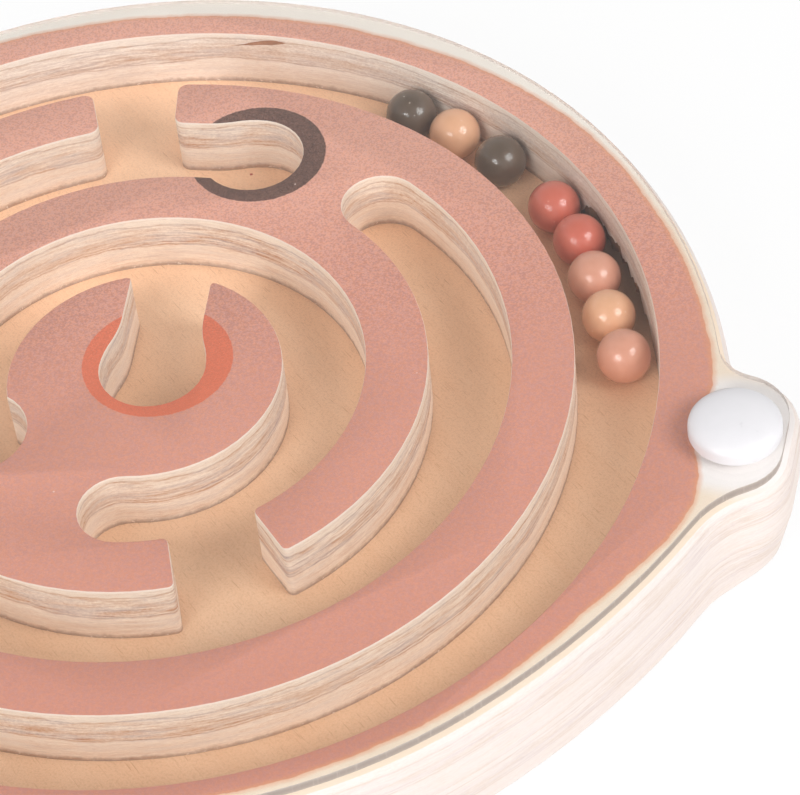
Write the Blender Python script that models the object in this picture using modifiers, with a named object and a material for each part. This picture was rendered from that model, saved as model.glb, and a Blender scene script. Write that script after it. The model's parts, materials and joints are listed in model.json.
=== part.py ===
"""A magnetic ball maze: a round plywood toy with routed ball channels under a clear cover.

Run it with Blender: blender --background --python part.py
Lengths are in metres and angles in degrees, counted from +X, where the right lug is.
The board lies flat, +Z up, with the middle of its underside at the origin.
"""

import math

import bmesh
import bpy
from mathutils import Vector

# Balls, and the room that the channels leave round them
BALL_DIAMETER = 0.008
BALL_SIDE_PLAY = 0.004
BALL_HEADROOM = 0.002
LEAD_BALL_ANGLE = 69.8

# One row for each ball, in the order in which they lie in the outer channel:
# name, colour, gap to the ball before it, gap to the rim's wall
BALLS = (
    ("ball_dark_1", "dark", 0.0, 0.0003),
    ("ball_tan_1", "tan", 0.0004, 0.0003),
    ("ball_dark_2", "dark", 0.0017, 0.0003),
    ("ball_red_1", "red", 0.0054, 0.0003),
    ("ball_red_2", "red", 0.0003, 0.0006),
    ("ball_pink_1", "pink", 0.0003, 0.0016),
    ("ball_tan_2", "tan", 0.0004, 0.0018),
    ("ball_pink_2", "pink", 0.0004, 0.0009),
)

# Routed walls, from the middle outwards
ISLAND_RADIUS = 0.020
WALL_WIDTH = 0.009
RIM_WIDTH = 0.0075
POCKET_BULGE = 0.00175
GATE_CORNER_RADIUS = 0.0016

# Where the routed pattern opens and closes, with its centre a little in front of the board's
MAZE_SHIFT = -0.0012
DARK_POCKET_ANGLE = 85.3
TAN_POCKET_ANGLE = 196.8
PINK_POCKET_ANGLE = 215.1
MIDDLE_CHANNEL_START = 225.5
MIDDLE_CHANNEL_END = 56.6
INNER_CHANNEL_START = -81.5
FIRST_GATE = (101.1, 113.7)
SECOND_GATE = (234.8, 247.4)
INNER_GATE = (-68.2, -45.9)
RED_POCKET_CENTRE = (0.0008, 0.0013)
RED_POCKET_MOUTH_ANGLE = 96.8

# Board and cover
BASE_THICKNESS = 0.008
COVER_THICKNESS = 0.0012
COVER_INSET = 0.0015
EDGE_ROUND = 0.0015
LUG_REACH = 0.0126
LUG_FLAT = 0.0064
LUG_CORNER_RADIUS = 0.009
LUG_BACK_FILLET = 0.005
LUG_FRONT_FILLET = 0.014
LUG_BACK_SHOULDER = 0.100
LUG_FRONT_SHOULDER = 0.130
SHOULDER_ANGLE = 42.0

# Screws and snap caps on the lugs
SCREW_OFFSET = 0.0041
SHANK_DIAMETER = 0.0035
HEAD_DIAMETER = 0.0066
HEAD_HEIGHT = 0.0011
SCREW_BITE = 0.004
SCREW_POINT = 0.002
WASHER_THICKNESS = 0.0007
CAP_DIAMETER = 0.0132
CAP_SKIRT = 0.001
CAP_DOME = 0.0022
CAP_WALL = 0.0008

# Fits
SEAT_GAP = 0.0003
HOLE_PLAY = 0.0003

# Fineness of the round shapes
CHORD_ERROR = 0.00003
FEWEST_ARC_STEPS = 4
TURNED_STEPS = 36
BALL_SEGMENTS = 20
BALL_RINGS = 12
ROUND_STEPS = 3
SHARP_ANGLE = 30.0

# Sizes that follow from these
CHANNEL_WIDTH = BALL_DIAMETER + BALL_SIDE_PLAY
WALL_HEIGHT = BALL_DIAMETER + BALL_HEADROOM
POCKET_RADIUS = CHANNEL_WIDTH / 2 + POCKET_BULGE
INNER_CHANNEL_RADIUS = ISLAND_RADIUS + CHANNEL_WIDTH / 2
RING_TWO_INSIDE = ISLAND_RADIUS + CHANNEL_WIDTH
RING_TWO_OUTSIDE = RING_TWO_INSIDE + WALL_WIDTH
MIDDLE_CHANNEL_RADIUS = RING_TWO_OUTSIDE + CHANNEL_WIDTH / 2
RING_ONE_INSIDE = RING_TWO_OUTSIDE + CHANNEL_WIDTH
RING_ONE_OUTSIDE = RING_ONE_INSIDE + WALL_WIDTH
RIM_INSIDE = RING_ONE_OUTSIDE + CHANNEL_WIDTH
BOARD_RADIUS = RIM_INSIDE + RIM_WIDTH
SCREW_RADIUS = BOARD_RADIUS + SCREW_OFFSET
HOLE_RADIUS = SHANK_DIAMETER / 2 + HOLE_PLAY

# Heights of the stack, from the underside up
FLOOR_Z = BASE_THICKNESS
WALL_Z = FLOOR_Z + SEAT_GAP
WALL_TOP_Z = WALL_Z + WALL_HEIGHT
COVER_Z = WALL_TOP_Z + SEAT_GAP
COVER_TOP_Z = COVER_Z + COVER_THICKNESS
WASHER_Z = COVER_TOP_Z + SEAT_GAP
HEAD_Z = WASHER_Z + WASHER_THICKNESS + SEAT_GAP
SCREW_TIP_Z = FLOOR_Z - SCREW_BITE
BALL_Z = FLOOR_Z + SEAT_GAP + BALL_DIAMETER / 2

CENTRE = Vector((0.0, 0.0))
MAZE_CENTRE = Vector((0.0, MAZE_SHIFT))
SIDES = (("right", 1.0), ("left", -1.0))

# Finish of each piece: colour, roughness, metallic
FINISHES = {
    "birch": ((0.72, 0.52, 0.34), 0.6, 0.0),
    "pink_print": ((0.66, 0.33, 0.25), 0.55, 0.0),
    "clear": ((0.95, 0.97, 0.97), 0.05, 0.0),
    "white": ((0.86, 0.86, 0.87), 0.3, 0.0),
    "steel": ((0.60, 0.60, 0.58), 0.35, 1.0),
    "dark": ((0.075, 0.060, 0.050), 0.3, 0.0),
    "tan": ((0.75, 0.45, 0.23), 0.3, 0.0),
    "red": ((0.58, 0.12, 0.09), 0.3, 0.0),
    "pink": ((0.66, 0.30, 0.21), 0.3, 0.0),
}


def clear_scene():
    """Removes every object, so that the script can be run again in the same file."""
    for obj in list(bpy.data.objects):
        bpy.data.objects.remove(obj, do_unlink=True)


def new_collection(name):
    collection = bpy.data.collections.new(name)
    bpy.context.scene.collection.children.link(collection)
    return collection


def material(name, finish):
    """One Principled material for one piece."""
    colour, roughness, metallic = FINISHES[finish]
    made = bpy.data.materials.new(name)
    made.use_nodes = True
    shader = made.node_tree.nodes["Principled BSDF"]
    shader.inputs["Base Color"].default_value = (*colour, 1.0)
    shader.inputs["Roughness"].default_value = roughness
    shader.inputs["Metallic"].default_value = metallic
    made.diffuse_color = (*colour, 1.0)
    return made


def add_piece(name, mesh, finish, collection):
    """Puts a mesh in the scene as one named piece with its own material."""
    mesh.name = name
    mesh.shade_smooth()
    mesh.set_sharp_from_angle(angle=math.radians(SHARP_ANGLE))
    mesh.materials.clear()
    mesh.materials.append(material(name, finish))
    piece = bpy.data.objects.new(name, mesh)
    collection.objects.link(piece)
    return piece


# Plan geometry


def polar(radius, angle):
    turn = math.radians(angle)
    return Vector((radius * math.cos(turn), radius * math.sin(turn)))


def heading(vector):
    """The angle of a plan vector, in degrees."""
    return math.degrees(math.atan2(vector.y, vector.x))


def arc(centre, radius, start, end):
    """Points from one angle to the other, both included, close enough to look round."""
    finest = 2 * math.degrees(math.acos(1 - CHORD_ERROR / radius))
    steps = max(FEWEST_ARC_STEPS, math.ceil(abs(end - start) / finest))
    return [centre + polar(radius, start + (end - start) * i / steps) for i in range(steps + 1)]


def circle(centre, radius):
    return arc(centre, radius, 0.0, 360.0)[:-1]


def rounded_corner(corner, incoming, outgoing):
    """A quarter round between two square directions, where a wall ends at a gate."""
    radius = GATE_CORNER_RADIUS
    centre = corner + radius * (outgoing - incoming)
    start = heading(-outgoing)
    turn = heading(incoming) - start
    turn = (turn + 180.0) % 360.0 - 180.0
    return arc(centre, radius, start, start + turn)


def without_repeats(points):
    """The outline with each point that lies on the one before it left out."""
    kept = [points[0]]
    for point in points[1:]:
        if (point - kept[-1]).length > CHORD_ERROR:
            kept.append(point)
    if (kept[0] - kept[-1]).length < CHORD_ERROR:
        kept.pop()
    return kept


def crossing_angle(far_side, pocket_distance, wall_radius):
    """How far from a pocket's own angle its circle meets a round wall, to one side or the other."""
    square_sum = pocket_distance**2 + wall_radius**2 - POCKET_RADIUS**2
    return far_side * math.degrees(math.acos(square_sum / (2 * pocket_distance * wall_radius)))


def pocket_arc(channel_radius, angle, side, from_radius, to_radius):
    """A round pocket at the end of a channel, from one channel wall round to the other.

    side is 1 where the channel leaves the pocket counter-clockwise, and -1 where it leaves clockwise.
    """
    centre = polar(channel_radius, angle)
    first = polar(from_radius, angle + crossing_angle(side, channel_radius, from_radius))
    last = polar(to_radius, angle + crossing_angle(side, channel_radius, to_radius))
    start = heading(first - centre)
    turn = (heading(last - centre) - start) % 360.0
    outwards = to_radius > from_radius
    clockwise = outwards == (side < 0)
    if clockwise:
        turn -= 360.0
    return arc(centre, POCKET_RADIUS, start, start + turn)


def round_end(channel_radius, angle, start, turn):
    """The half round that a cutter leaves at the end of a channel."""
    return arc(polar(channel_radius, angle), CHANNEL_WIDTH / 2, angle + start, angle + start + turn)


def gate_corner(radius, angle, incoming, outgoing):
    """A rounded wall corner at a gate, with its two directions given as turns from the radius."""
    corner = polar(radius, angle)
    return rounded_corner(corner, polar(1.0, angle + incoming), polar(1.0, angle + outgoing))


def lug_side(inset, fillet_radius, shoulder_radius):
    """One side of a lug, from its tip over the corner, a concave fillet and a flat shoulder to the crest."""
    corner = LUG_CORNER_RADIUS - inset
    fillet = fillet_radius + inset
    shoulder = shoulder_radius - inset
    corner_centre = Vector((BOARD_RADIUS + LUG_REACH - LUG_CORNER_RADIUS, LUG_FLAT / 2))
    shoulder_centre = polar(BOARD_RADIUS - shoulder_radius, SHOULDER_ANGLE)
    across = corner_centre - shoulder_centre
    out = across.length
    span = shoulder + fillet
    apart = math.degrees(math.acos((span**2 + out**2 - (corner + fillet) ** 2) / (2 * span * out)))
    bend = heading(across) + apart
    fillet_centre = shoulder_centre + polar(span, bend)
    corner_turn = heading(fillet_centre - corner_centre)
    line = arc(corner_centre, corner, 0.0, corner_turn)
    line += arc(fillet_centre, fillet, corner_turn + 180.0, bend + 180.0)
    line += arc(shoulder_centre, shoulder, bend, SHOULDER_ANGLE)
    line += arc(CENTRE, BOARD_RADIUS - inset, SHOULDER_ANGLE, 90.0)
    return line


def board_outline(inset):
    """The round board with a lug on each side, the same on the left as on the right."""
    front = lug_side(inset, LUG_FRONT_FILLET, LUG_FRONT_SHOULDER)
    right = [Vector((point.x, -point.y)) for point in front[::-1]]
    right += lug_side(inset, LUG_BACK_FILLET, LUG_BACK_SHOULDER)
    left = [Vector((-point.x, point.y)) for point in right]
    return without_repeats(right + left[::-1])


def keyhole(island_radius):
    """The red pocket in the island and its straight mouth, from the right edge round to the left."""
    centre = Vector(RED_POCKET_CENTRE)
    out = polar(1.0, RED_POCKET_MOUTH_ANGLE)
    right = polar(1.0, RED_POCKET_MOUTH_ANGLE - 90.0)
    half_width = CHANNEL_WIDTH / 2
    neck = math.degrees(math.asin(half_width / POCKET_RADIUS))
    edges = []
    for side in (1.0, -1.0):
        foot = centre + side * half_width * right
        along = foot.dot(out)
        reach = -along + math.sqrt(along**2 - foot.length_squared + island_radius**2)
        edges.append(foot + reach * out)
    start = RED_POCKET_MOUTH_ANGLE - neck
    pocket = arc(centre, POCKET_RADIUS, start, start - 360.0 + 2 * neck)
    return [edges[0]] + pocket + [edges[1]]


def core_outline():
    """The routed walls inside the rim, one closed line as the cutter runs round them.

    It follows the outside of ring 1, goes in at the first gate, round the dark and the tan
    pocket, out again, in at the second gate, and through the inner gate round the island.
    """
    gate_in, gate_out = FIRST_GATE
    second_in, second_out = SECOND_GATE
    inner_in, inner_out = INNER_GATE
    outer_turn = math.degrees(GATE_CORNER_RADIUS / RING_ONE_OUTSIDE)
    inner_turn = math.degrees(GATE_CORNER_RADIUS / RING_ONE_INSIDE)
    line = []

    # Ring 1 from the second gate round to the first, and in
    line += arc(CENTRE, RING_ONE_OUTSIDE, second_out - 360.0 + outer_turn, gate_in - outer_turn)
    line += gate_corner(RING_ONE_OUTSIDE, gate_in, 90.0, 180.0)
    line += gate_corner(RING_ONE_INSIDE, gate_in, 180.0, -90.0)

    # Dark pocket, the outside of ring 2, tan pocket, and back along ring 1
    dark = (MIDDLE_CHANNEL_RADIUS, DARK_POCKET_ANGLE, 1.0)
    tan = (MIDDLE_CHANNEL_RADIUS, TAN_POCKET_ANGLE, -1.0)
    line += pocket_arc(*dark, RING_ONE_INSIDE, RING_TWO_OUTSIDE)
    dark_neck = DARK_POCKET_ANGLE + crossing_angle(1.0, MIDDLE_CHANNEL_RADIUS, RING_TWO_OUTSIDE)
    tan_neck = TAN_POCKET_ANGLE + crossing_angle(-1.0, MIDDLE_CHANNEL_RADIUS, RING_TWO_OUTSIDE)
    line += arc(CENTRE, RING_TWO_OUTSIDE, dark_neck, tan_neck)
    line += pocket_arc(*tan, RING_TWO_OUTSIDE, RING_ONE_INSIDE)
    tan_lip = TAN_POCKET_ANGLE + crossing_angle(-1.0, MIDDLE_CHANNEL_RADIUS, RING_ONE_INSIDE)
    line += arc(CENTRE, RING_ONE_INSIDE, tan_lip, gate_out + inner_turn)
    line += gate_corner(RING_ONE_INSIDE, gate_out, -90.0, 0.0)
    line += gate_corner(RING_ONE_OUTSIDE, gate_out, 0.0, 90.0)

    # The left part of ring 1, and in at the second gate
    line += arc(CENTRE, RING_ONE_OUTSIDE, gate_out + outer_turn, second_in - outer_turn)
    line += gate_corner(RING_ONE_OUTSIDE, second_in, 90.0, 180.0)
    line += gate_corner(RING_ONE_INSIDE, second_in, 180.0, -90.0)
    line += round_end(MIDDLE_CHANNEL_RADIUS, MIDDLE_CHANNEL_START, 0.0, -180.0)
    line += arc(CENTRE, RING_TWO_OUTSIDE, MIDDLE_CHANNEL_START, inner_in + 360.0)

    # In at the inner gate, round the island with its red pocket, and the pink pocket
    line += arc(CENTRE, RING_TWO_INSIDE, inner_in, INNER_CHANNEL_START)
    line += round_end(INNER_CHANNEL_RADIUS, INNER_CHANNEL_START, 0.0, -180.0)
    mouth = keyhole(ISLAND_RADIUS)
    line += arc(CENTRE, ISLAND_RADIUS, INNER_CHANNEL_START, heading(mouth[0]))
    line += mouth
    pink = (INNER_CHANNEL_RADIUS, PINK_POCKET_ANGLE, -1.0)
    pink_neck = PINK_POCKET_ANGLE + crossing_angle(-1.0, INNER_CHANNEL_RADIUS, ISLAND_RADIUS)
    pink_lip = PINK_POCKET_ANGLE + crossing_angle(-1.0, INNER_CHANNEL_RADIUS, RING_TWO_INSIDE)
    line += arc(CENTRE, ISLAND_RADIUS, heading(mouth[-1]), pink_neck)
    line += pocket_arc(*pink, ISLAND_RADIUS, RING_TWO_INSIDE)
    line += arc(CENTRE, RING_TWO_INSIDE, pink_lip, inner_out)

    # Out again, along ring 2 to the blind end, and back along ring 1 to the second gate
    line += arc(CENTRE, RING_TWO_OUTSIDE, inner_out, MIDDLE_CHANNEL_END)
    line += round_end(MIDDLE_CHANNEL_RADIUS, MIDDLE_CHANNEL_END, 180.0, -180.0)
    line += arc(CENTRE, RING_ONE_INSIDE, MIDDLE_CHANNEL_END, second_out - 360.0 + inner_turn)
    line += gate_corner(RING_ONE_INSIDE, second_out, -90.0, 0.0)
    line += gate_corner(RING_ONE_OUTSIDE, second_out, 0.0, 90.0)
    return without_repeats(line)


# Solids


def plate_mesh(name, outlines, bottom, thickness):
    """A flat plate from closed outlines, the first one its edge and the rest its holes."""
    curve = bpy.data.curves.new(name, "CURVE")
    curve.dimensions = "2D"
    curve.fill_mode = "BOTH"
    curve.extrude = thickness / 2
    for outline in outlines:
        spline = curve.splines.new("POLY")
        spline.points.add(len(outline) - 1)
        for target, point in zip(spline.points, outline):
            target.co = (point.x, point.y, 0.0, 1.0)
        spline.use_cyclic_u = True
    guide = bpy.data.objects.new(name, curve)
    bpy.context.scene.collection.objects.link(guide)
    graph = bpy.context.evaluated_depsgraph_get()
    mesh = bpy.data.meshes.new_from_object(guide.evaluated_get(graph))
    bpy.data.objects.remove(guide, do_unlink=True)
    bpy.data.curves.remove(curve)
    body = bmesh.new()
    body.from_mesh(mesh)
    bmesh.ops.remove_doubles(body, verts=body.verts, dist=CHORD_ERROR / 10)
    bmesh.ops.translate(body, verts=body.verts, vec=(0.0, 0.0, bottom + thickness / 2))
    bmesh.ops.recalc_face_normals(body, faces=body.faces)
    body.to_mesh(mesh)
    body.free()
    return mesh


def round_edge(mesh, height, radius):
    """Sands the outline's edge at one height to a quarter round."""
    body = bmesh.new()
    body.from_mesh(mesh)
    edges = []
    for edge in body.edges:
        level = all(abs(vert.co.z - height) < CHORD_ERROR for vert in edge.verts)
        if level and edge.calc_face_angle(0.0) > math.radians(SHARP_ANGLE):
            edges.append(edge)
    bmesh.ops.bevel(
        body, geom=edges, offset=radius, segments=ROUND_STEPS, profile=0.5, affect="EDGES", clamp_overlap=False
    )
    body.to_mesh(mesh)
    body.free()


def add_cutter(name, radius, bottom, top, place, collection):
    """A round cutter, kept out of the finished object."""
    mesh = plate_mesh(name, [circle(CENTRE, radius)], bottom, top - bottom)
    cutter = bpy.data.objects.new(name, mesh)
    cutter.location = (place.x, place.y, 0.0)
    cutter.hide_render = True
    cutter.display_type = "WIRE"
    collection.objects.link(cutter)
    return cutter


def cut(piece, cutter):
    boolean = piece.modifiers.new(cutter.name, "BOOLEAN")
    boolean.operation = "DIFFERENCE"
    boolean.solver = "EXACT"
    boolean.object = cutter


def turned_mesh(name, profile, closed):
    """A profile of (radius, height) points, run from the top down its outer side, for a Screw modifier."""
    mesh = bpy.data.meshes.new(name)
    body = bmesh.new()
    verts = [body.verts.new((radius, 0.0, height)) for radius, height in profile]
    for first, second in zip(verts, verts[1:]):
        body.edges.new((first, second))
    if closed:
        body.edges.new((verts[-1], verts[0]))
    body.to_mesh(mesh)
    body.free()
    return mesh


def add_turned(name, profile, closed, place, finish, collection):
    piece = add_piece(name, turned_mesh(name, profile, closed), finish, collection)
    piece.location = place
    screw = piece.modifiers.new("turn", "SCREW")
    screw.axis = "Z"
    screw.angle = math.radians(360.0)
    screw.steps = TURNED_STEPS
    screw.render_steps = TURNED_STEPS
    screw.use_merge_vertices = True
    screw.merge_threshold = CHORD_ERROR / 10
    screw.use_smooth_shade = True
    return piece


def dome(radius, height, base):
    """Profile points of a low dome, from its crown to its rim."""
    bowl = (radius**2 + height**2) / (2 * height)
    rim_angle = 90.0 - math.degrees(math.asin(radius / bowl))
    points = arc(Vector((0.0, base + height - bowl)), bowl, 90.0, rim_angle)
    points[0].x = 0.0
    return [(point.x, point.y) for point in points]


# Pieces


def lug_place(side):
    return Vector((side * SCREW_RADIUS, 0.0))


def build_board(parts, cutters):
    """The base plate, the rim and the routed walls."""
    base_mesh = plate_mesh("base_plate", [board_outline(0.0)], 0.0, BASE_THICKNESS)
    round_edge(base_mesh, 0.0, EDGE_ROUND)
    base = add_piece("base_plate", base_mesh, "birch", parts)

    rim_mesh = plate_mesh("outer_rim", [board_outline(0.0)], WALL_Z, WALL_HEIGHT)
    round_edge(rim_mesh, WALL_TOP_Z, EDGE_ROUND)
    rim = add_piece("outer_rim", rim_mesh, "pink_print", parts)
    below = WALL_Z - WALL_HEIGHT
    above = WALL_TOP_Z + WALL_HEIGHT
    cut(rim, add_cutter("rim_opening", RIM_INSIDE, below, above, MAZE_CENTRE, cutters))
    for side, sign in SIDES:
        place = lug_place(sign)
        cut(rim, add_cutter("rim_hole_" + side, HOLE_RADIUS, below, above, place, cutters))
        hole_end = SCREW_TIP_Z - HOLE_PLAY
        cut(base, add_cutter("base_hole_" + side, HOLE_RADIUS, hole_end, WALL_TOP_Z, place, cutters))

    core_mesh = plate_mesh("maze_core", [core_outline()], WALL_Z, WALL_HEIGHT)
    core = add_piece("maze_core", core_mesh, "pink_print", parts)
    core.location = (*MAZE_CENTRE, 0.0)


def build_cover(parts):
    """The clear sheet, with a hole on each lug."""
    outlines = [board_outline(COVER_INSET)]
    for _, sign in SIDES:
        outlines.append(circle(lug_place(sign), HOLE_RADIUS))
    add_piece("clear_cover", plate_mesh("clear_cover", outlines, COVER_Z, COVER_THICKNESS), "clear", parts)


def build_fasteners(parts):
    """On each lug a screw, the washer under its head and the snap cap over both."""
    cap_radius = CAP_DIAMETER / 2
    bore = cap_radius - CAP_WALL
    washer_radius = bore - SEAT_GAP
    cap_profile = dome(cap_radius, CAP_DOME, CAP_SKIRT) + [(cap_radius, 0.0), (bore, 0.0)]
    cap_profile += dome(bore, CAP_DOME - CAP_WALL, CAP_SKIRT)[::-1]
    washer_profile = [
        (washer_radius, WASHER_THICKNESS),
        (washer_radius, 0.0),
        (HOLE_RADIUS, 0.0),
        (HOLE_RADIUS, WASHER_THICKNESS),
    ]
    shank = SHANK_DIAMETER / 2
    length = HEAD_Z - SCREW_TIP_Z
    screw_profile = dome(HEAD_DIAMETER / 2, HEAD_HEIGHT / 2, HEAD_HEIGHT / 2)
    screw_profile += [(HEAD_DIAMETER / 2, 0.0), (shank, 0.0), (shank, SCREW_POINT - length), (0.0, -length)]
    for side, sign in SIDES:
        place = lug_place(sign)
        add_turned("screw_cap_" + side, cap_profile, False, (place.x, place.y, WASHER_Z), "white", parts)
        add_turned("cap_washer_" + side, washer_profile, True, (place.x, place.y, WASHER_Z), "white", parts)
        add_turned("cover_screw_" + side, screw_profile, False, (place.x, place.y, HEAD_Z), "steel", parts)


def build_balls(parts):
    """The balls in the outer channel, each on an arm that turns about the maze's centre.

    Each arm hangs on the arm of the ball before it, because the balls can't pass each other.
    """
    arm_before = None
    path_before = None
    for name, colour, gap, wall_gap in BALLS:
        path = RIM_INSIDE - wall_gap - BALL_DIAMETER / 2
        arm = bpy.data.objects.new(name + "_arm", None)
        parts.objects.link(arm)
        if arm_before is None:
            arm.location = (*MAZE_CENTRE, BALL_Z)
            arm.rotation_euler.z = math.radians(LEAD_BALL_ANGLE)
        else:
            apart = BALL_DIAMETER + gap
            arm.parent = arm_before
            arm.rotation_euler.z = -math.acos((path**2 + path_before**2 - apart**2) / (2 * path * path_before))
        bpy.ops.mesh.primitive_uv_sphere_add(
            segments=BALL_SEGMENTS, ring_count=BALL_RINGS, radius=BALL_DIAMETER / 2
        )
        sphere = bpy.context.active_object
        mesh = sphere.data.copy()
        bpy.data.objects.remove(sphere, do_unlink=True)
        ball = add_piece(name, mesh, colour, parts)
        mesh.shade_smooth()
        ball.parent = arm
        ball.location = (path, 0.0, 0.0)
        arm_before = arm
        path_before = path


def main():
    clear_scene()
    parts = new_collection("magnetic_ball_maze")
    cutters = new_collection("cutters")
    build_board(parts, cutters)
    build_cover(parts)
    build_fasteners(parts)
    build_balls(parts)


main()
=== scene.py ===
"""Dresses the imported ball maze: board, printed walls, clear cover, snap caps and lacquered balls."""

import json
import logging
import math
from dataclasses import dataclass, replace
from enum import Enum
from typing import Callable, ClassVar, Sequence, Union

import bmesh
import bpy
from mathutils import Matrix, Vector, noise

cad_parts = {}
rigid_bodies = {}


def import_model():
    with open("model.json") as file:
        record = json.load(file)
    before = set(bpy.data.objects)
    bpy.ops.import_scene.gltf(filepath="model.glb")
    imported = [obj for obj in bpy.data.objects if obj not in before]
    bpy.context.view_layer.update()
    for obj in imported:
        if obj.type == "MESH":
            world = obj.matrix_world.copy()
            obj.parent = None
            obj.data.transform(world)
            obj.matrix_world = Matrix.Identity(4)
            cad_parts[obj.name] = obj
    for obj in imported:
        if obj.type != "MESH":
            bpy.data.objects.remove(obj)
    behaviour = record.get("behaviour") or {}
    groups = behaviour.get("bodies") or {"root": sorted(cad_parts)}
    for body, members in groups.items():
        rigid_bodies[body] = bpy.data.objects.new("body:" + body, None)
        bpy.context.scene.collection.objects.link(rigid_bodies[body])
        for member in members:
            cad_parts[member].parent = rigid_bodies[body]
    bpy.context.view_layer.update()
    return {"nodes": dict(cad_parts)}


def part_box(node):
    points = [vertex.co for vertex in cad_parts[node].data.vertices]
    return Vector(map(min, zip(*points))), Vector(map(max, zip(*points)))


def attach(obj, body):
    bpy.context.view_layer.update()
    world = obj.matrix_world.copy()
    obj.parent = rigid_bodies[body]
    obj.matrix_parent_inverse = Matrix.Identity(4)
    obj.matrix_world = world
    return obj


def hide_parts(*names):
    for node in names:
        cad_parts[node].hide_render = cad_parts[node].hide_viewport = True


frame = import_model()

MM = 0.001
MAZE_CENTRE = Vector((0.0, -1.2 * MM, 0.0))
WALL_FOOT = 8.3 * MM
WALL_TOP = 18.3 * MM
WALL_STACK = 10.0 * MM
COVER_TOP = 19.8 * MM
CAP_REACH = 85.6 * MM
CLEARANCE = 0.02 * MM
TOUCH = 0.05 * MM
LEVEL = 0.9
UPRIGHT = 0.1
PLY_BEARING = -42.0
PHOTO_BEARING = 18.0

Colour = tuple[float, float, float, float]
Span = tuple[float, float]
Node = bpy.types.Node
Socket = bpy.types.NodeSocket
Sockets = dict[str, Socket]
Value = Union[float, Colour, Socket]
Piece = bpy.types.Object
Edge = bmesh.types.BMEdge
Face = bmesh.types.BMFace

logging.basicConfig(level=logging.INFO, format="%(name)s: %(message)s")
log = logging.getLogger("ball_maze")


def tint(red: int, green: int, blue: int) -> Colour:
    """Gives the scene-linear colour of an 8-bit display colour.

    Args:
        red: Red on the display, 0 to 255.
        green: Green on the display, 0 to 255.
        blue: Blue on the display, 0 to 255.

    Returns:
        The linear colour, with full alpha.
    """
    parts = []
    for share in (red / 255, green / 255, blue / 255):
        parts.append(share / 12.92 if share <= 0.04045 else ((share + 0.055) / 1.055) ** 2.4)
    return (parts[0], parts[1], parts[2], 1.0)


# ---------------------------------------------------------------- node sheets


@dataclass(frozen=True)
class Grain:
    """One noise: cells per metre, octaves, share of each finer octave, and factors for X, Y and Z."""

    scale: Value
    detail: float = 2.0
    rough: float = 0.5
    stretch: tuple[float, ...] = ()


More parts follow.
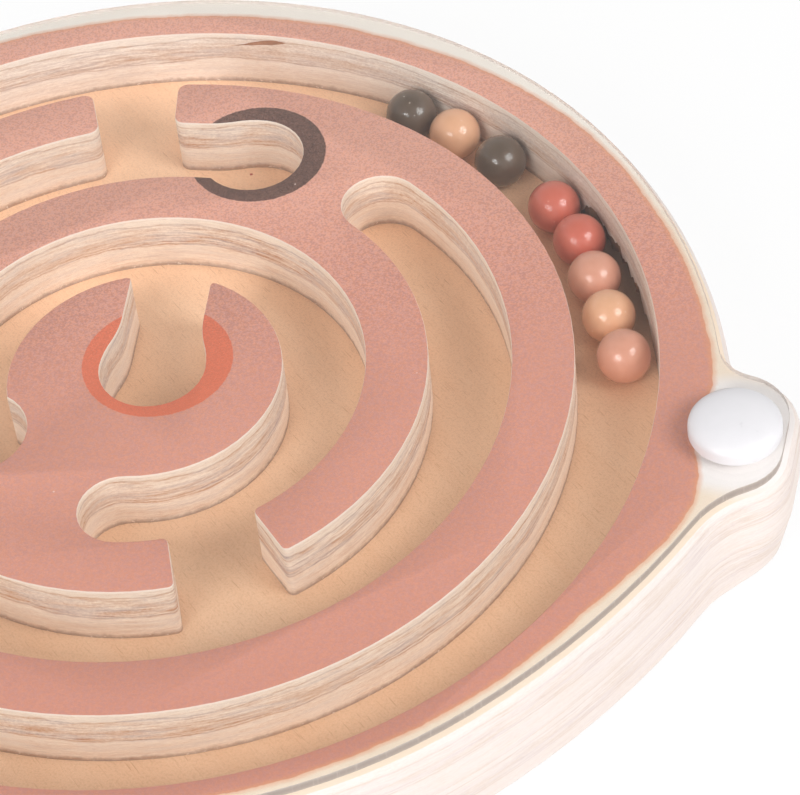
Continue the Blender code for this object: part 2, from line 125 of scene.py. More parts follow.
class NodeSheet:
    """A node tree that is being filled, with short calls for the nodes that the finishes use."""

    def __init__(self, tree: bpy.types.NodeTree) -> None:
        """Keeps the tree that the calls add to."""
        self.tree = tree

    def node(self, kind: str, **settings: object) -> Node:
        """Adds a node.

        Args:
            kind: The node's type name, without "ShaderNode".
            **settings: Properties to set on it.

        Returns:
            The new node.
        """
        made = self.tree.nodes.new("ShaderNode" + kind)
        for name, value in settings.items():
            setattr(made, name, value)
        return made

    def feed(self, socket: Socket, value: Value) -> None:
        """Sets a socket to a value, or links it to another socket.

        Args:
            socket: The input to feed.
            value: A number, a colour or an output socket.
        """
        if isinstance(value, Socket):
            self.tree.links.new(value, socket)
        else:
            socket.default_value = value

    def result(self, kind: str, inputs: dict[Union[int, str], Value], **settings: object) -> Socket:
        """Adds a node and feeds it.

        Args:
            kind: The node's type name, without "ShaderNode".
            inputs: What its inputs take, by number or name.
            **settings: Properties to set on it.

        Returns:
            The first output that it has in use.
        """
        made = self.node(kind, **settings)
        for key, value in inputs.items():
            self.feed(made.inputs[key], value)
        return next(socket for socket in made.outputs if socket.enabled)

    def math(self, operation: str, first: Value, second: Value = 0.0, third: Value = 0.0,
             clamp: bool = False) -> Socket:
        """Adds a Math node for an operation on up to three values, held to 0 to 1 by clamp."""
        return self.result("Math", {0: first, 1: second, 2: third}, operation=operation, use_clamp=clamp)

    def add(self, first: Value, second: Value) -> Socket:
        """Adds two values."""
        return self.math("ADD", first, second)

    def scaled(self, first: Value, second: Value) -> Socket:
        """Multiplies two values."""
        return self.math("MULTIPLY", first, second)

    def swing(self, value: Value, width: float) -> Socket:
        """Centres a 0 to 1 value on zero and gives it a total swing of width."""
        return self.math("MULTIPLY_ADD", value, width, -0.5 * width)

    def step(self, value: Value, low: Value, high: Value) -> Socket:
        """Adds a smooth step from 0 at low to 1 at high."""
        inputs = {"Value": value, "From Min": low, "From Max": high}
        return self.result("MapRange", inputs, interpolation_type="SMOOTHSTEP")

    def fall(self, value: Value, low: Value, high: Value) -> Socket:
        """Adds a smooth step the other way, from 1 at low to 0 at high."""
        return self.math("SUBTRACT", 1.0, self.step(value, low, high))

    def mix(self, factor: Value, first: Value, second: Value) -> Socket:
        """Mixes two colours, with factor as the second one's share."""
        return self.result("Mix", {0: factor, 6: first, 7: second}, data_type="RGBA")

    def between(self, factor: Value, first: Value, second: Value) -> Socket:
        """Mixes two values, with factor as the second one's share."""
        return self.result("Mix", {0: factor, 2: first, 3: second}, data_type="FLOAT")

    def shaded(self, colour: Value, factor: Value) -> Socket:
        """Darkens or lightens a colour by a factor."""
        return self.result("HueSaturation", {"Color": colour, "Value": factor})

    def ramp(self, value: Value, stops: tuple[Span, ...]) -> Socket:
        """Reads a value off a straight-lined curve.

        Args:
            value: Where to read, 0 to 1.
            stops: Pairs of place and result, in order from place 0 to place 1.

        Returns:
            The result's socket.
        """
        made = self.node("ValToRGB")
        self.feed(made.inputs[0], value)
        keys = made.color_ramp.elements
        for place, _ in stops[1:-1]:
            keys.new(place)
        for key, (_, result) in zip(keys, stops):
            key.color = (result, result, result, 1.0)
        return made.outputs[0]

    def noise(self, vector: Value, grain: Grain) -> Socket:
        """Adds a noise texture.

        Args:
            vector: Where to read it.
            grain: Its settings.

        Returns:
            The 0 to 1 noise socket.
        """
        if grain.stretch:
            vector = self.result("VectorMath", {0: vector, 1: grain.stretch}, operation="MULTIPLY")
        return self.result("TexNoise", {"Vector": vector, "Scale": grain.scale, "Detail": grain.detail,
                                        "Roughness": grain.rough})

    def dots(self, vector: Value, scale: float, bare: float) -> tuple[Socket, Socket]:
        """Scatters dots, one to a cell, and leaves some cells bare.

        Args:
            vector: Where to read them.
            scale: Cells per metre.
            bare: Share of the cells without a dot.

        Returns:
            The distance from the nearest dot, and the mask of the cells that have one.
        """
        cells = self.node("TexVoronoi")
        self.feed(cells.inputs["Vector"], vector)
        cells.inputs["Scale"].default_value = scale
        chosen = self.math("GREATER_THAN", self.sides(cells.outputs["Color"])[0], bare)
        return cells.outputs["Distance"], chosen

    def sides(self, vector: Value) -> tuple[Socket, Socket, Socket]:
        """Splits a vector.

        Args:
            vector: The vector.

        Returns:
            Its X, Y and Z sockets.
        """
        made = self.node("SeparateXYZ")
        self.feed(made.inputs[0], vector)
        return made.outputs[0], made.outputs[1], made.outputs[2]

    def distance(self, x: Value, y: Value, centre: Sequence[float]) -> Socket:
        """Gives the flat distance of a place from a fixed centre.

        Args:
            x: The place's X.
            y: The place's Y.
            centre: The centre's X and Y, in metres.

        Returns:
            The distance's socket.
        """
        across = self.math("SUBTRACT", x, centre[0])
        along = self.math("SUBTRACT", y, centre[1])
        square = self.math("MULTIPLY_ADD", along, along, self.scaled(across, across))
        return self.math("SQRT", square)

    def effect(self, shared: "SharedEffect", **inputs: Value) -> Sockets:
        """Places a shared effect's group.

        Args:
            shared: The effect.
            **inputs: Values for its named inputs, with _ for a space.

        Returns:
            Its outputs by name.
        """
        made = self.node("Group")
        made.node_tree = shared.tree()
        for name, value in inputs.items():
            self.feed(made.inputs[name.replace("_", " ")], value)
        return {socket.name: socket for socket in made.outputs}


class SharedEffect:
    """An effect that several finishes use, kept as one shader node group."""

    name = "effect"
    takes: dict[str, float] = {}
    faces = False
    gives: tuple[str, ...] = ()

    def tree(self) -> bpy.types.NodeTree:
        """Gives the node group, and builds it the first time.

        Returns:
            The shader node tree.
        """
        made = bpy.data.node_groups.get(self.name)
        if made is not None:
            return made
        made = bpy.data.node_groups.new(self.name, "ShaderNodeTree")
        for title in ("Vector", "Normal") if self.faces else ("Vector",):
            made.interface.new_socket(name=title, in_out="INPUT", socket_type="NodeSocketVector")
        for title, value in self.takes.items():
            taken = made.interface.new_socket(name=title, in_out="INPUT", socket_type="NodeSocketFloat")
            taken.default_value = value
        for title in self.gives:
            made.interface.new_socket(name=title, in_out="OUTPUT", socket_type="NodeSocketFloat")
        entry = made.nodes.new("NodeGroupInput")
        leave = made.nodes.new("NodeGroupOutput")
        sheet = NodeSheet(made)
        results = self.fill(sheet, {socket.name: socket for socket in entry.outputs if socket.name})
        for title, socket in results.items():
            sheet.feed(leave.inputs[title], socket)
        return made

    def fill(self, sheet: NodeSheet, given: Sockets) -> Sockets:
        """Fills the group, and gives the sockets for its outputs. Each effect has its own."""
        raise NotImplementedError


class PlyLayers(SharedEffect):
    """Wavy veneers of a cut plywood edge, stacked along Z, with end grain where fibres meet the cut."""

    name = "ply_layers"
    takes = {"Foot": WALL_FOOT, "Stack": WALL_STACK, "Wave": 1.0}
    faces = True
    gives = ("Tone", "Warm", "End", "Height")
    veneers = (
        (0.0, 0.52), (0.06, 0.68), (0.10, 0.80), (0.22, 0.84), (0.26, 0.77), (0.40, 0.86), (0.445, 0.76),
        (0.468, 0.26), (0.488, 0.80), (0.515, 0.42), (0.56, 0.64), (0.64, 0.54), (0.72, 0.76), (0.855, 0.78),
        (0.878, 0.36), (0.90, 0.84), (1.0, 0.92))
    cross_plies = (0.478, 0.878)
    glue = 0.01
    slow_wave = (Grain(42.0, stretch=(1.0, 1.0, 0.6)), 2.6 * MM)
    quick_wave = (Grain(230.0, 4.0, 0.6, (1.0, 1.0, 1.8)), 1.1 * MM)
    wild = Grain(36.0)
    wild_band = (0.42, 0.70)
    streak = Grain(190.0, 4.0, 0.66, (1.0, 1.0, 16.0))
    hair = Grain(1300.0, 2.0, 0.6, (1.0, 1.0, 8.0))
    hair_share = 0.72
    dots = Grain(2100.0, 2.0, 0.6, (1.0, 1.0, 1.6))
    dots_share = 0.8
    end_shade = -0.14
    warm = Grain(130.0, 3.0, 0.6, (1.0, 1.0, 7.0))
    warm_band = (0.36, 0.62)

    def fill(self, sheet: NodeSheet, given: Sockets) -> Sockets:
        """Fills the group with veneers, glue lines, long fibres and end-grain dots.

        Args:
            sheet: The group's sheet.
            given: The group's inputs by name.

        Returns:
            The sockets for its outputs by name.
        """
        vector = given["Vector"]
        _, _, z = sheet.sides(vector)
        slow, quick = (sheet.swing(sheet.noise(vector, grain), width)
                       for grain, width in (self.slow_wave, self.quick_wave))
        lifted = sheet.math("MULTIPLY_ADD", sheet.add(slow, quick), given["Wave"], z)
        height = sheet.math("DIVIDE", sheet.math("SUBTRACT", lifted, given["Foot"]), given["Stack"])
        veneer = sheet.ramp(height, self.veneers)
        above, below = (sheet.step(height, edge - self.glue, edge + self.glue) for edge in self.cross_plies)
        cross = sheet.math("SUBTRACT", above, below)
        end = self.end_grain(sheet, given["Normal"], cross)
        wild = sheet.step(sheet.noise(vector, self.wild), *self.wild_band)
        streak = sheet.noise(vector, self.streak)
        hair = sheet.noise(vector, self.hair)
        dots = sheet.noise(vector, self.dots)
        warm = sheet.step(sheet.noise(vector, self.warm), *self.warm_band)
        force = sheet.math("MULTIPLY_ADD", cross, 0.9, 0.75)
        force = sheet.scaled(force, sheet.math("MULTIPLY_ADD", wild, 0.9, 0.6))
        tone = sheet.math("MULTIPLY_ADD", sheet.swing(streak, 1.0), force, veneer)
        tone = sheet.add(tone, sheet.swing(hair, self.hair_share))
        tone = sheet.math("MULTIPLY_ADD", sheet.swing(dots, self.dots_share), end, tone)
        tone = sheet.math("MULTIPLY_ADD", end, self.end_shade, tone, clamp=True)
        relief = sheet.math("MULTIPLY_ADD", sheet.scaled(dots, end), 0.6, sheet.scaled(streak, 0.6))
        relief = sheet.math("MULTIPLY_ADD", veneer, 0.5, relief)
        return {"Tone": tone, "Warm": warm, "End": end, "Height": relief}

    def end_grain(self, sheet: NodeSheet, normal: Value, cross: Value) -> Socket:
        """Gives how far the cut meets the fibres of a veneer end on.

        Args:
            sheet: The group's sheet.
            normal: The cut's normal.
            cross: 1 on every second veneer.

        Returns:
            The end-grain mask.
        """
        angle = math.radians(PLY_BEARING)
        x, y, _ = sheet.sides(normal)
        along = sheet.math("MULTIPLY_ADD", x, math.cos(angle), sheet.scaled(y, math.sin(angle)))
        across = sheet.math("MULTIPLY_ADD", y, math.cos(angle), sheet.scaled(x, -math.sin(angle)))
        on_cross = sheet.step(sheet.math("ABSOLUTE", across), 0.2, 0.9)
        on_cross = sheet.math("MULTIPLY_ADD", on_cross, 0.5, 0.5)
        on_long = sheet.scaled(sheet.step(sheet.math("ABSOLUTE", along), 0.5, 1.0), 0.3)
        return sheet.between(cross, on_long, on_cross)


class BirchFace(SharedEffect):
    """Rotary-cut birch face veneer, with its fibres along X."""

    name = "birch_face"
    takes = {"Scale": 1.0}
    gives = ("Tone", "Pore", "Height")
    band = Grain(26.0, 3.0, 0.6, (1.0, 7.0, 7.0))
    fibre = Grain(110.0, 3.0, 0.7, (1.0, 30.0, 30.0))
    ripple = Grain(52.0, stretch=(3.2, 1.0, 1.0))
    pore = Grain(330.0, 1.0, stretch=(1.0, 15.0, 15.0))
    pore_band = (0.63, 0.75)
    band_share = 0.78
    fibre_share = 0.58
    ripple_share = 0.36

    def fill(self, sheet: NodeSheet, given: Sockets) -> Sockets:
        """Fills the group with broad bands, fine fibres, a cross ripple and short pores.

        Args:
            sheet: The group's sheet.
            given: The group's inputs by name.

        Returns:
            The sockets for its outputs by name.
        """
        vector = sheet.result("VectorMath", {0: given["Vector"], "Scale": given["Scale"]}, operation="SCALE")
        band, fibre, ripple = (sheet.noise(vector, grain) for grain in (self.band, self.fibre, self.ripple))
        pore = sheet.step(sheet.noise(vector, self.pore), *self.pore_band)
        tone = sheet.add(sheet.swing(band, self.band_share), sheet.swing(fibre, self.fibre_share))
        tone = sheet.math("ADD", sheet.add(tone, sheet.swing(ripple, self.ripple_share)), 0.5, clamp=True)
        relief = sheet.math("MULTIPLY_ADD", pore, -0.4, sheet.scaled(fibre, 0.8))
        return {"Tone": tone, "Pore": pore, "Height": relief}


class Speckle(SharedEffect):
    """Fine grain of a printed or painted skin, with stray dust dots."""

    name = "speckle"
    takes = {"Scale": 2000.0}
    gives = ("Grain", "Hue", "Drift", "Dust")
    fine_share = 0.82
    coarser = 0.41
    hue_size = 0.8
    hue_shift = (0.31, 0.17, 0.53)
    drift = Grain(85.0, 3.0)
    dust_scale = 330.0
    dust_bare = 0.86
    dust_size = 0.055

    def fill(self, sheet: NodeSheet, given: Sockets) -> Sockets:
        """Fills the group with two sizes of grain, a slow drift and dust.

        Args:
            sheet: The group's sheet.
            given: The group's inputs by name.

        Returns:
            The sockets for its outputs by name.
        """
        vector = given["Vector"]
        fine = sheet.noise(vector, Grain(given["Scale"], 1.0))
        coarse = sheet.noise(vector, Grain(sheet.scaled(given["Scale"], self.coarser)))
        coarse = sheet.scaled(coarse, 1.0 - self.fine_share)
        grain = sheet.math("MULTIPLY_ADD", fine, self.fine_share, coarse)
        beside = sheet.result("VectorMath", {0: vector, 1: self.hue_shift}, operation="ADD")
        hue = sheet.noise(beside, Grain(sheet.scaled(given["Scale"], self.hue_size), 1.0))
        drift = sheet.noise(vector, self.drift)
        away, chosen = sheet.dots(vector, self.dust_scale, self.dust_bare)
        near = sheet.math("LESS_THAN", away, self.dust_size)
        return {"Grain": grain, "Hue": hue, "Drift": drift, "Dust": sheet.scaled(near, chosen)}


class PrintField(SharedEffect):
    """Where the pink print lies on the wall tops, the coloured rings round the pockets, and a patch on each
    lug for a painted reflection.
    """

    name = "print_field"
    rings = {"Dark Ring": ((4.54, 45.87), 10.5), "Red Ring": ((1.27, 1.32), 11.0),
             "Tan Ring": ((-45.2, -14.4), 10.6)}
    gives = ("Print", "Border", "Lug Reflection", *rings)
    low_reach = 76.0
    reach_span = 8.0
    reaches = (
        (-90, 76.9), (-45, 77.1), (-25, 78.35), (-19, 80.0), (-14, 81.85), (-8.4, 82.8), (-5, 82.3),
        (-1, 80.2), (3, 80.2), (7, 81.8), (10.4, 81.6), (15, 80.85), (24, 80.4), (35, 79.5), (47, 79.6),
        (60, 79.0), (70, 78.5), (78, 78.2), (90, 78.2))
    ragged = ((Grain(75.0, 3.0, 0.6), 1.1 * MM), (Grain(620.0, 3.0, 0.6), 0.55 * MM))
    edge_blur = 0.09 * MM
    ring_blur = 0.07 * MM
    ring_fuzz = 0.30 * MM
    ring_grain = Grain(2600.0)
    border = (0.05 * MM, 0.9 * MM)
    # Size of the patch on each lug that takes a painted reflection.
    lug_painted_reflection_patch = (9.0 * MM, 12.5 * MM)

    def ring(self, sheet: NodeSheet, x: Value, y: Value, centre: Span, radius: float,
             fuzz: Value) -> Socket:
        """Gives the disc that a ring is printed as.

        Args:
            sheet: The group's sheet.
            x: The place's X.
            y: The place's Y.
            centre: The ring's centre, in millimetres.
            radius: The ring's outer radius, in millimetres.
            fuzz: A small swing of its edge, in metres.

        Returns:
            The ring's mask.
        """
        away = sheet.distance(x, y, (centre[0] * MM, centre[1] * MM))
        away = sheet.math("SUBTRACT", radius * MM, sheet.add(away, fuzz))
        return sheet.step(away, -self.ring_blur, self.ring_blur)

    def reach(self, sheet: NodeSheet, across: Value, y: Value) -> Socket:
        """Gives how far the print reaches from the maze's centre by bearing, the same on both sides.

        Args:
            sheet: The group's sheet.
            across: Absolute X.
            y: The place's Y.

        Returns:
            The reach in metres.
        """
        bearing = sheet.math("ARCTAN2", sheet.math("SUBTRACT", y, MAZE_CENTRE.y), across)
        turn = sheet.math("MULTIPLY_ADD", bearing, 1.0 / math.pi, 0.5)
        stops = tuple(((angle + 90) / 180, (far - self.low_reach) / self.reach_span)
                      for angle, far in self.reaches)
        return sheet.math("MULTIPLY_ADD", sheet.ramp(turn, stops), self.reach_span * MM, self.low_reach * MM)

    def fill(self, sheet: NodeSheet, given: Sockets) -> Sockets:
        """Fills the group with the print's ragged edge, the lugs' patches for a painted reflection and three
        ring discs.

        Args:
            sheet: The group's sheet.
            given: The group's inputs by name.

        Returns:
            The sockets for its outputs by name.
        """
        vector = given["Vector"]
        x, y, _ = sheet.sides(vector)
        across = sheet.math("ABSOLUTE", x)
        inside = sheet.math("SUBTRACT", self.reach(sheet, across, y), sheet.distance(x, y, MAZE_CENTRE))
        for grain, width in self.ragged:
            inside = sheet.add(inside, sheet.swing(sheet.noise(vector, grain), width))
        fuzz = sheet.swing(sheet.noise(vector, self.ring_grain), self.ring_fuzz)
        masks = {
            "Print": sheet.step(inside, -self.edge_blur, self.edge_blur),
            "Border": sheet.fall(sheet.math("ABSOLUTE", inside), *self.border),
            # Patch on each lug for a painted reflection.
            "Lug Reflection": sheet.fall(sheet.distance(across, y, (CAP_REACH, 0.0)), *self.lug_painted_reflection_patch),
        }
        for name, (centre, radius) in self.rings.items():
            masks[name] = self.ring(sheet, x, y, centre, radius, fuzz)
        return masks


PLY_LAYERS = PlyLayers()
BIRCH_FACE = BirchFace()
SPECKLE = Speckle()
PRINT_FIELD = PrintField()


# ---------------------------------------------------------------- finishes


class MaterialSheet(NodeSheet):
    """A material's sheet, which knows its Principled node and its object coordinates."""

    def __init__(self, tree: bpy.types.NodeTree) -> None:
        """Keeps the tree, the inputs of its Principled node and the object coordinates.

        Args:
            tree: The material's node tree.
        """
        super().__init__(tree)
        self.surface = next(n for n in tree.nodes if n.type == "BSDF_PRINCIPLED").inputs
        self.place = self.node("TexCoord").outputs["Object"]

    def turned(self, degrees: float) -> Socket:
        """Turns the object coordinates about Z, so that the pattern's X takes a bearing."""
        turn = (0.0, 0.0, math.radians(degrees))
        return self.result("Mapping", {"Vector": self.place, "Rotation": turn}, vector_type="TEXTURE")

    def blend(self, share: Value, other: Node) -> None:
        """Mixes another shader into what leaves the material.

        Args:
            share: Share of the other shader.
            other: The other shader's node.
        """
        out = next(n for n in self.tree.nodes if n.type == "OUTPUT_MATERIAL").inputs["Surface"]
        mixed = self.node("MixShader")
        for socket, value in zip(mixed.inputs, (share, out.links[0].from_socket, other.outputs[0])):
            self.feed(socket, value)
        self.feed(out, mixed.outputs[0])


class Finish:
    """A procedural material for one kind of surface."""

    name: str
    roughness: float
    uneven: float
    relief: float
    mixed: ClassVar[dict[str, bpy.types.Material]] = {}

    def material(self) -> bpy.types.Material:
        """Gives the material, and builds it the first time.

        Returns:
            The material.
        """
        if self.name not in Finish.mixed:
            made = bpy.data.materials.new(self.name)
            made.use_nodes = True
            Finish.mixed[self.name] = made
            self.paint(MaterialSheet(made.node_tree))
        return Finish.mixed[self.name]

    def paint(self, sheet: MaterialSheet) -> None:
        """Fills the material's sheet. Each finish has its own."""
        raise NotImplementedError

    def lay(self, sheet: MaterialSheet, colour: Value, wear: Value, height: Value) -> None:
        """Feeds colour, roughness and relief into the surface.

        Args:
            sheet: The material's sheet.
            colour: The base colour.
            wear: A 0 to 1 mask of the rougher places.
            height: A 0 to 1 height.
        """
        sheet.feed(sheet.surface["Base Color"], colour)
        rough = sheet.math("MULTIPLY_ADD", wear, self.uneven, self.roughness - 0.5 * self.uneven)
        sheet.feed(sheet.surface["Roughness"], rough)
        bump = sheet.result("Bump", {"Strength": 1.0, "Distance": self.relief, "Height": height})
        sheet.feed(sheet.surface["Normal"], bump)


@dataclass(frozen=True)
class BirchFinish(Finish):
    """Clear-lacquered birch face, as on the channel floor and the underside."""

    name: str
    pale: Colour
    deep: Colour
    pore: Colour
    roughness: float = 0.5
    bearing: float = PLY_BEARING
    # Painted shade: how much darker the floor is painted towards the near side and lighter towards the far
    # side.
    drift: float = 0.26
    painted_depth_shade_band: Span = (-75.0 * MM, 75.0 * MM)
    # Painted shadow on the floor at the rim's foot beside the torn rim: its colour, share, centre, reach and
    # size.
    painted_foot_shade: Colour = tint(112, 80, 60)
    painted_foot_shade_share: float = 0.0
    painted_foot_shade_centre: Span = (61.5 * MM, 38.5 * MM)
    painted_foot_shade_reach: Span = (69.5 * MM, 73.0 * MM)
    painted_foot_shade_size: Span = (9.0 * MM, 17.0 * MM)
    fleck: Colour = tint(196, 104, 88)
    fleck_centre: Span = (0.9 * MM, 51.5 * MM)
    fleck_radius: float = 0.24 * MM
    pore_share: float = 0.45
    grit_scale: float = 2900.0
    grit_band: Span = (0.45, 0.7)
    grit_share: float = 0.2
    ragged: Grain = Grain(420.0, 3.0, 0.6)
    ragged_width: float = 2.4 * MM
    uneven: float = -0.12
    relief: float = 0.03 * MM

    def paint(self, sheet: MaterialSheet) -> None:
        """Paints bands, fibres and pores along the bearing, and on the floor painted shade, a painted shadow
        and a paint fleck.

        Args:
            sheet: The material\'s sheet.
        """
        face = sheet.effect(BIRCH_FACE, Vector=sheet.turned(self.bearing))
        skin = sheet.effect(SPECKLE, Vector=sheet.place, Scale=self.grit_scale)
        grit = sheet.scaled(sheet.step(skin["Grain"], *self.grit_band), self.grit_share)
        marks = sheet.math("MAXIMUM", sheet.scaled(face["Pore"], self.pore_share), grit)
        colour = sheet.mix(marks, sheet.mix(face["Tone"], self.deep, self.pale), self.pore)
        if self.painted_foot_shade_share > 0.0:
            colour = self.painted_shade_and_fleck(sheet, colour)
        self.lay(sheet, colour, face["Tone"], face["Height"])

    def painted_shade_and_fleck(self, sheet: MaterialSheet, colour: Socket) -> Socket:
        """Paints painted shade on the floor, darker towards the near side, a painted shadow at the rim's foot
        beside the torn rim, and a paint fleck.

        Args:
            sheet: The material's sheet.
            colour: The clean veneer's colour.

        Returns:
            The colour with its painted shade, painted shadow and fleck.
        """
        # Painted shade: the floor is darker towards the near side and lighter towards the far side.
        _, depth, _ = sheet.sides(sheet.turned(PHOTO_BEARING))
        drift = sheet.swing(sheet.step(depth, *self.painted_depth_shade_band), self.drift)
        colour = sheet.shaded(colour, sheet.add(drift, 1.0))
        x, y, _ = sheet.sides(sheet.place)
        ragged = sheet.swing(sheet.noise(sheet.place, self.ragged), self.ragged_width)
        # Painted shadow on the floor at the rim's foot, beside the torn rim.
        out = sheet.step(sheet.add(sheet.distance(x, y, MAZE_CENTRE), ragged), *self.painted_foot_shade_reach)
        beside = sheet.fall(sheet.distance(x, y, self.painted_foot_shade_centre), *self.painted_foot_shade_size)
        foot_shadow_mask = sheet.scaled(sheet.scaled(out, beside), self.painted_foot_shade_share)
        colour = sheet.mix(foot_shadow_mask, colour, self.painted_foot_shade)
        spot = sheet.add(sheet.distance(x, y, self.fleck_centre), sheet.scaled(ragged, 0.12))
        return sheet.mix(sheet.math("LESS_THAN", spot, self.fleck_radius), colour, self.fleck)


@dataclass(frozen=True)
class PlyEdgeFinish(Finish):
    """Cut plywood edge, as on the routed walls and the board's side."""

    name: str
    pale: Colour
    deep: Colour
    cool: Colour
    wave: float = 1.0
    foot: float = WALL_FOOT
    stack: float = WALL_STACK
    # Painted shade along the wall's foot where it meets the floor: its colour, share and band above the foot.
    painted_foot_shade: Colour = tint(140, 108, 88)
    painted_foot_shade_share: float = 0.0
    painted_foot_shade_band: Span = (0.1 * MM, 1.1 * MM)
    lip: Colour = tint(252, 238, 226)
    lip_share: float = 0.0
    lip_band: Span = (-0.5 * MM, -0.2 * MM)
    # Painted shade on the rim wall beside the balls: its colour, share, centre and size.
    painted_wall_shade: Colour = tint(158, 124, 102)
    painted_wall_shade_share: float = 0.0
    painted_wall_shade_centre: Span = (58.0 * MM, 45.0 * MM)
    painted_wall_shade_size: Span = (12.0 * MM, 38.0 * MM)
    relief: float = 0.10 * MM
    roughness: float = 0.73
    uneven: float = 0.12
    gloss: float = 0.25
    fray: Grain = Grain(800.0, 3.0, 0.65, (1.0, 1.0, 0.6))
    fray_width: float = 1.4 * MM
    chips: Grain = Grain(1700.0, 2.0, 0.6, (1.0, 1.0, 1.4))
    chips_band: Span = (0.62, 0.70)
    chips_share: float = 0.8

    def paint(self, sheet: MaterialSheet) -> None:
        """Paints the veneers in warm and cool browns, painted shade at the foot with pale chips, the pale lip
        and painted shade on the rim beside the balls.

        Args:
            sheet: The material\'s sheet.
        """
        sheet.surface["Specular IOR Level"].default_value = self.gloss
        normal = sheet.node("NewGeometry").outputs["Normal"]
        ply = sheet.effect(PLY_LAYERS, Vector=sheet.place, Normal=normal, Foot=self.foot, Stack=self.stack,
                           Wave=self.wave)
        colour = sheet.mix(ply["Tone"], sheet.mix(ply["Warm"], self.cool, self.deep), self.pale)
        x, y, z = sheet.sides(sheet.place)
        fray = sheet.swing(sheet.noise(sheet.place, self.fray), self.fray_width)
        # Painted shade along the wall's foot, with pale chips of torn veneer in it.
        if self.painted_foot_shade_share > 0.0:
            low = sheet.fall(sheet.add(z, fray), *(self.foot + edge for edge in self.painted_foot_shade_band))
            colour = sheet.mix(sheet.scaled(low, self.painted_foot_shade_share), colour, self.painted_foot_shade)
            chips = sheet.step(sheet.noise(sheet.place, self.chips), *self.chips_band)
            chips = sheet.scaled(sheet.scaled(low, chips), self.chips_share)
            colour = sheet.mix(chips, colour, self.lip)
        if self.lip_share > 0.0:
            top = self.foot + self.stack
            high = sheet.math("MULTIPLY_ADD", fray, 0.3, z)
            high = sheet.step(high, *(top + edge for edge in self.lip_band))
            colour = sheet.mix(sheet.scaled(high, self.lip_share), colour, self.lip)
        # Painted shade on the rim wall beside the balls.
        if self.painted_wall_shade_share > 0.0:
            away = sheet.math("MULTIPLY_ADD", fray, 4.0, sheet.distance(x, y, self.painted_wall_shade_centre))
            worn = sheet.fall(away, *self.painted_wall_shade_size)
            colour = sheet.mix(sheet.scaled(worn, self.painted_wall_shade_share), colour, self.painted_wall_shade)
        self.lay(sheet, colour, ply["End"], ply["Height"])


